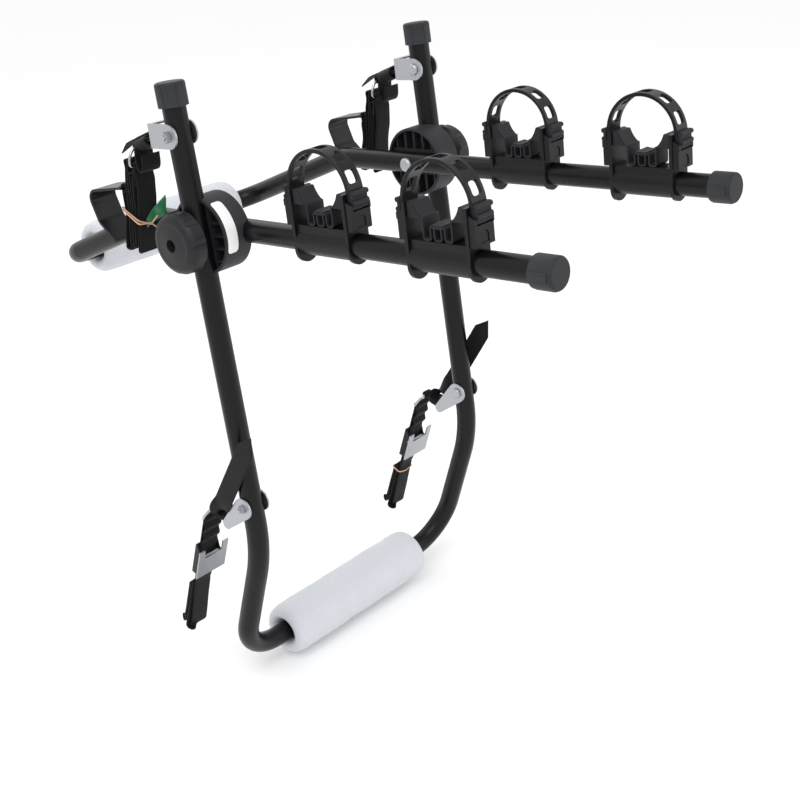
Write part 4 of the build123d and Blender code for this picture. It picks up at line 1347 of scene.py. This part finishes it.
class RACK_OT_stage(bpy.types.Operator):
    """Set the floor, the soft light and the camera"""

    bl_idname = "rack.stage"
    bl_label = "Stage"

    floor_gap = 0.004
    floor_half = 9.0
    sky_strength = 0.98
    backdrop_strength = 1.0
    light_aim = Vector((0, 0, 0.45))
    key_light = {"place": (-1.2, -0.6, 2.3), "size": 1.6}
    fill_light = {"place": (1.6, -1.8, 1.2), "size": 1.4}
    rim_light = {"place": (0.4, 2.0, 1.6), "size": 1.4}

    def execute(self, context):
        scene = context.scene
        stage = scene.rack_stage
        self.make_floor(stage)
        scene.world = self.make_sky()
        self.make_light(scene, "key", stage.key_power, **self.key_light)
        self.make_light(scene, "fill", stage.fill_power, **self.fill_light)
        self.make_light(scene, "rim", stage.fill_power, **self.rim_light)
        self.make_camera(scene, stage)
        scene.view_settings.view_transform = "Standard"
        return {"FINISHED"}

    def make_floor(self, stage):
        """A plain floor just under the rack."""
        level = cad_bounds[0][2] - self.floor_gap
        builder = bmesh.new()
        bmesh.ops.create_grid(builder, x_segments=1, y_segments=1, size=self.floor_half)
        bmesh.ops.translate(builder, vec=(0, 0, level), verts=builder.verts)
        floor = mesh_object("floor", builder, plain_floor(stage.floor_colour), smooth=False)

    def make_sky(self):
        """Even white light, and a white backdrop for the camera."""
        world = bpy.data.worlds.new("studio")
        world.use_nodes = True
        tree = world.node_tree
        tree.nodes.clear()
        output = tree.nodes.new("ShaderNodeOutputWorld")
        light = tree.nodes.new("ShaderNodeBackground")
        settle(light, {"Color": (1, 1, 1, 1), "Strength": self.sky_strength})
        white = tree.nodes.new("ShaderNodeBackground")
        settle(white, {"Color": (1, 1, 1, 1), "Strength": self.backdrop_strength})
        choose = tree.nodes.new("ShaderNodeMixShader")
        ray = tree.nodes.new("ShaderNodeLightPath")
        tree.links.new(ray.outputs["Is Camera Ray"], choose.inputs[0])
        tree.links.new(light.outputs[0], choose.inputs[1])
        tree.links.new(white.outputs[0], choose.inputs[2])
        tree.links.new(choose.outputs[0], output.inputs["Surface"])
        return world

    def make_light(self, scene, name, power, place, size):
        """One square light that looks at the rack's middle."""
        lamp = bpy.data.lights.new(name, "AREA")
        lamp.energy = power
        lamp.size = size
        made = bpy.data.objects.new(name, lamp)
        aim = self.light_aim - Vector(place)
        made.matrix_world = Matrix.Translation(place) @ aim.to_track_quat("-Z", "Y").to_matrix().to_4x4()
        scene.collection.objects.link(made)

    def make_camera(self, scene, stage):
        """The camera in its fixed place."""
        lens = bpy.data.cameras.new("camera")
        lens.lens = stage.focal_length
        lens.sensor_width = 36.0
        lens.clip_end = 50.0
        camera = bpy.data.objects.new("camera", lens)
        turn = Matrix((CAMERA_RIGHT, -CAMERA_DOWN, -CAMERA_FORWARD)).transposed().to_4x4()
        camera.matrix_world = Matrix.Translation(CAMERA_PLACE) @ turn
        scene.collection.objects.link(camera)
        scene.camera = camera


class RACK_PT_panel(bpy.types.Panel):
    """Steps and settings of the bike rack"""

    bl_idname = "RACK_PT_panel"
    bl_label = "Bike Rack"
    bl_space_type = "VIEW_3D"
    bl_region_type = "UI"
    bl_category = "Bike Rack"

    def draw(self, context):
        for group in (context.scene.rack_finishes, context.scene.rack_sizes, context.scene.rack_stage):
            box = self.layout.box()
            for name in group.__annotations__:
                box.prop(group, name)
        for step in STEPS:
            self.layout.operator(step.bl_idname)


STEPS = (
    RACK_OT_metal_frames,
    RACK_OT_hubs,
    RACK_OT_cradles,
    RACK_OT_strap_hardware,
    RACK_OT_foam_pads,
    RACK_OT_webbing,
    RACK_OT_stitches,
    RACK_OT_trims,
    RACK_OT_stage,
)
GROUPS = {"rack_finishes": RackFinishes, "rack_sizes": RackSizes, "rack_stage": RackStage}


def register():
    for group in GROUPS.values():
        bpy.utils.register_class(group)
    for step in STEPS:
        bpy.utils.register_class(step)
    bpy.utils.register_class(RACK_PT_panel)
    for name, group in GROUPS.items():
        setattr(bpy.types.Scene, name, bpy.props.PointerProperty(type=group))


def unregister():
    for name in GROUPS:
        delattr(bpy.types.Scene, name)
    bpy.utils.unregister_class(RACK_PT_panel)
    for step in reversed(STEPS):
        bpy.utils.unregister_class(step)
    for group in reversed(list(GROUPS.values())):
        bpy.utils.unregister_class(group)


def main():
    register()
    bpy.ops.rack.metal_frames()
    bpy.ops.rack.hubs()
    bpy.ops.rack.cradles()
    bpy.ops.rack.strap_hardware()
    bpy.ops.rack.foam_pads()
    bpy.ops.rack.webbing()
    bpy.ops.rack.stitches()
    bpy.ops.rack.trims()
    bpy.ops.rack.stage()


if __name__ == "__main__":
    main()
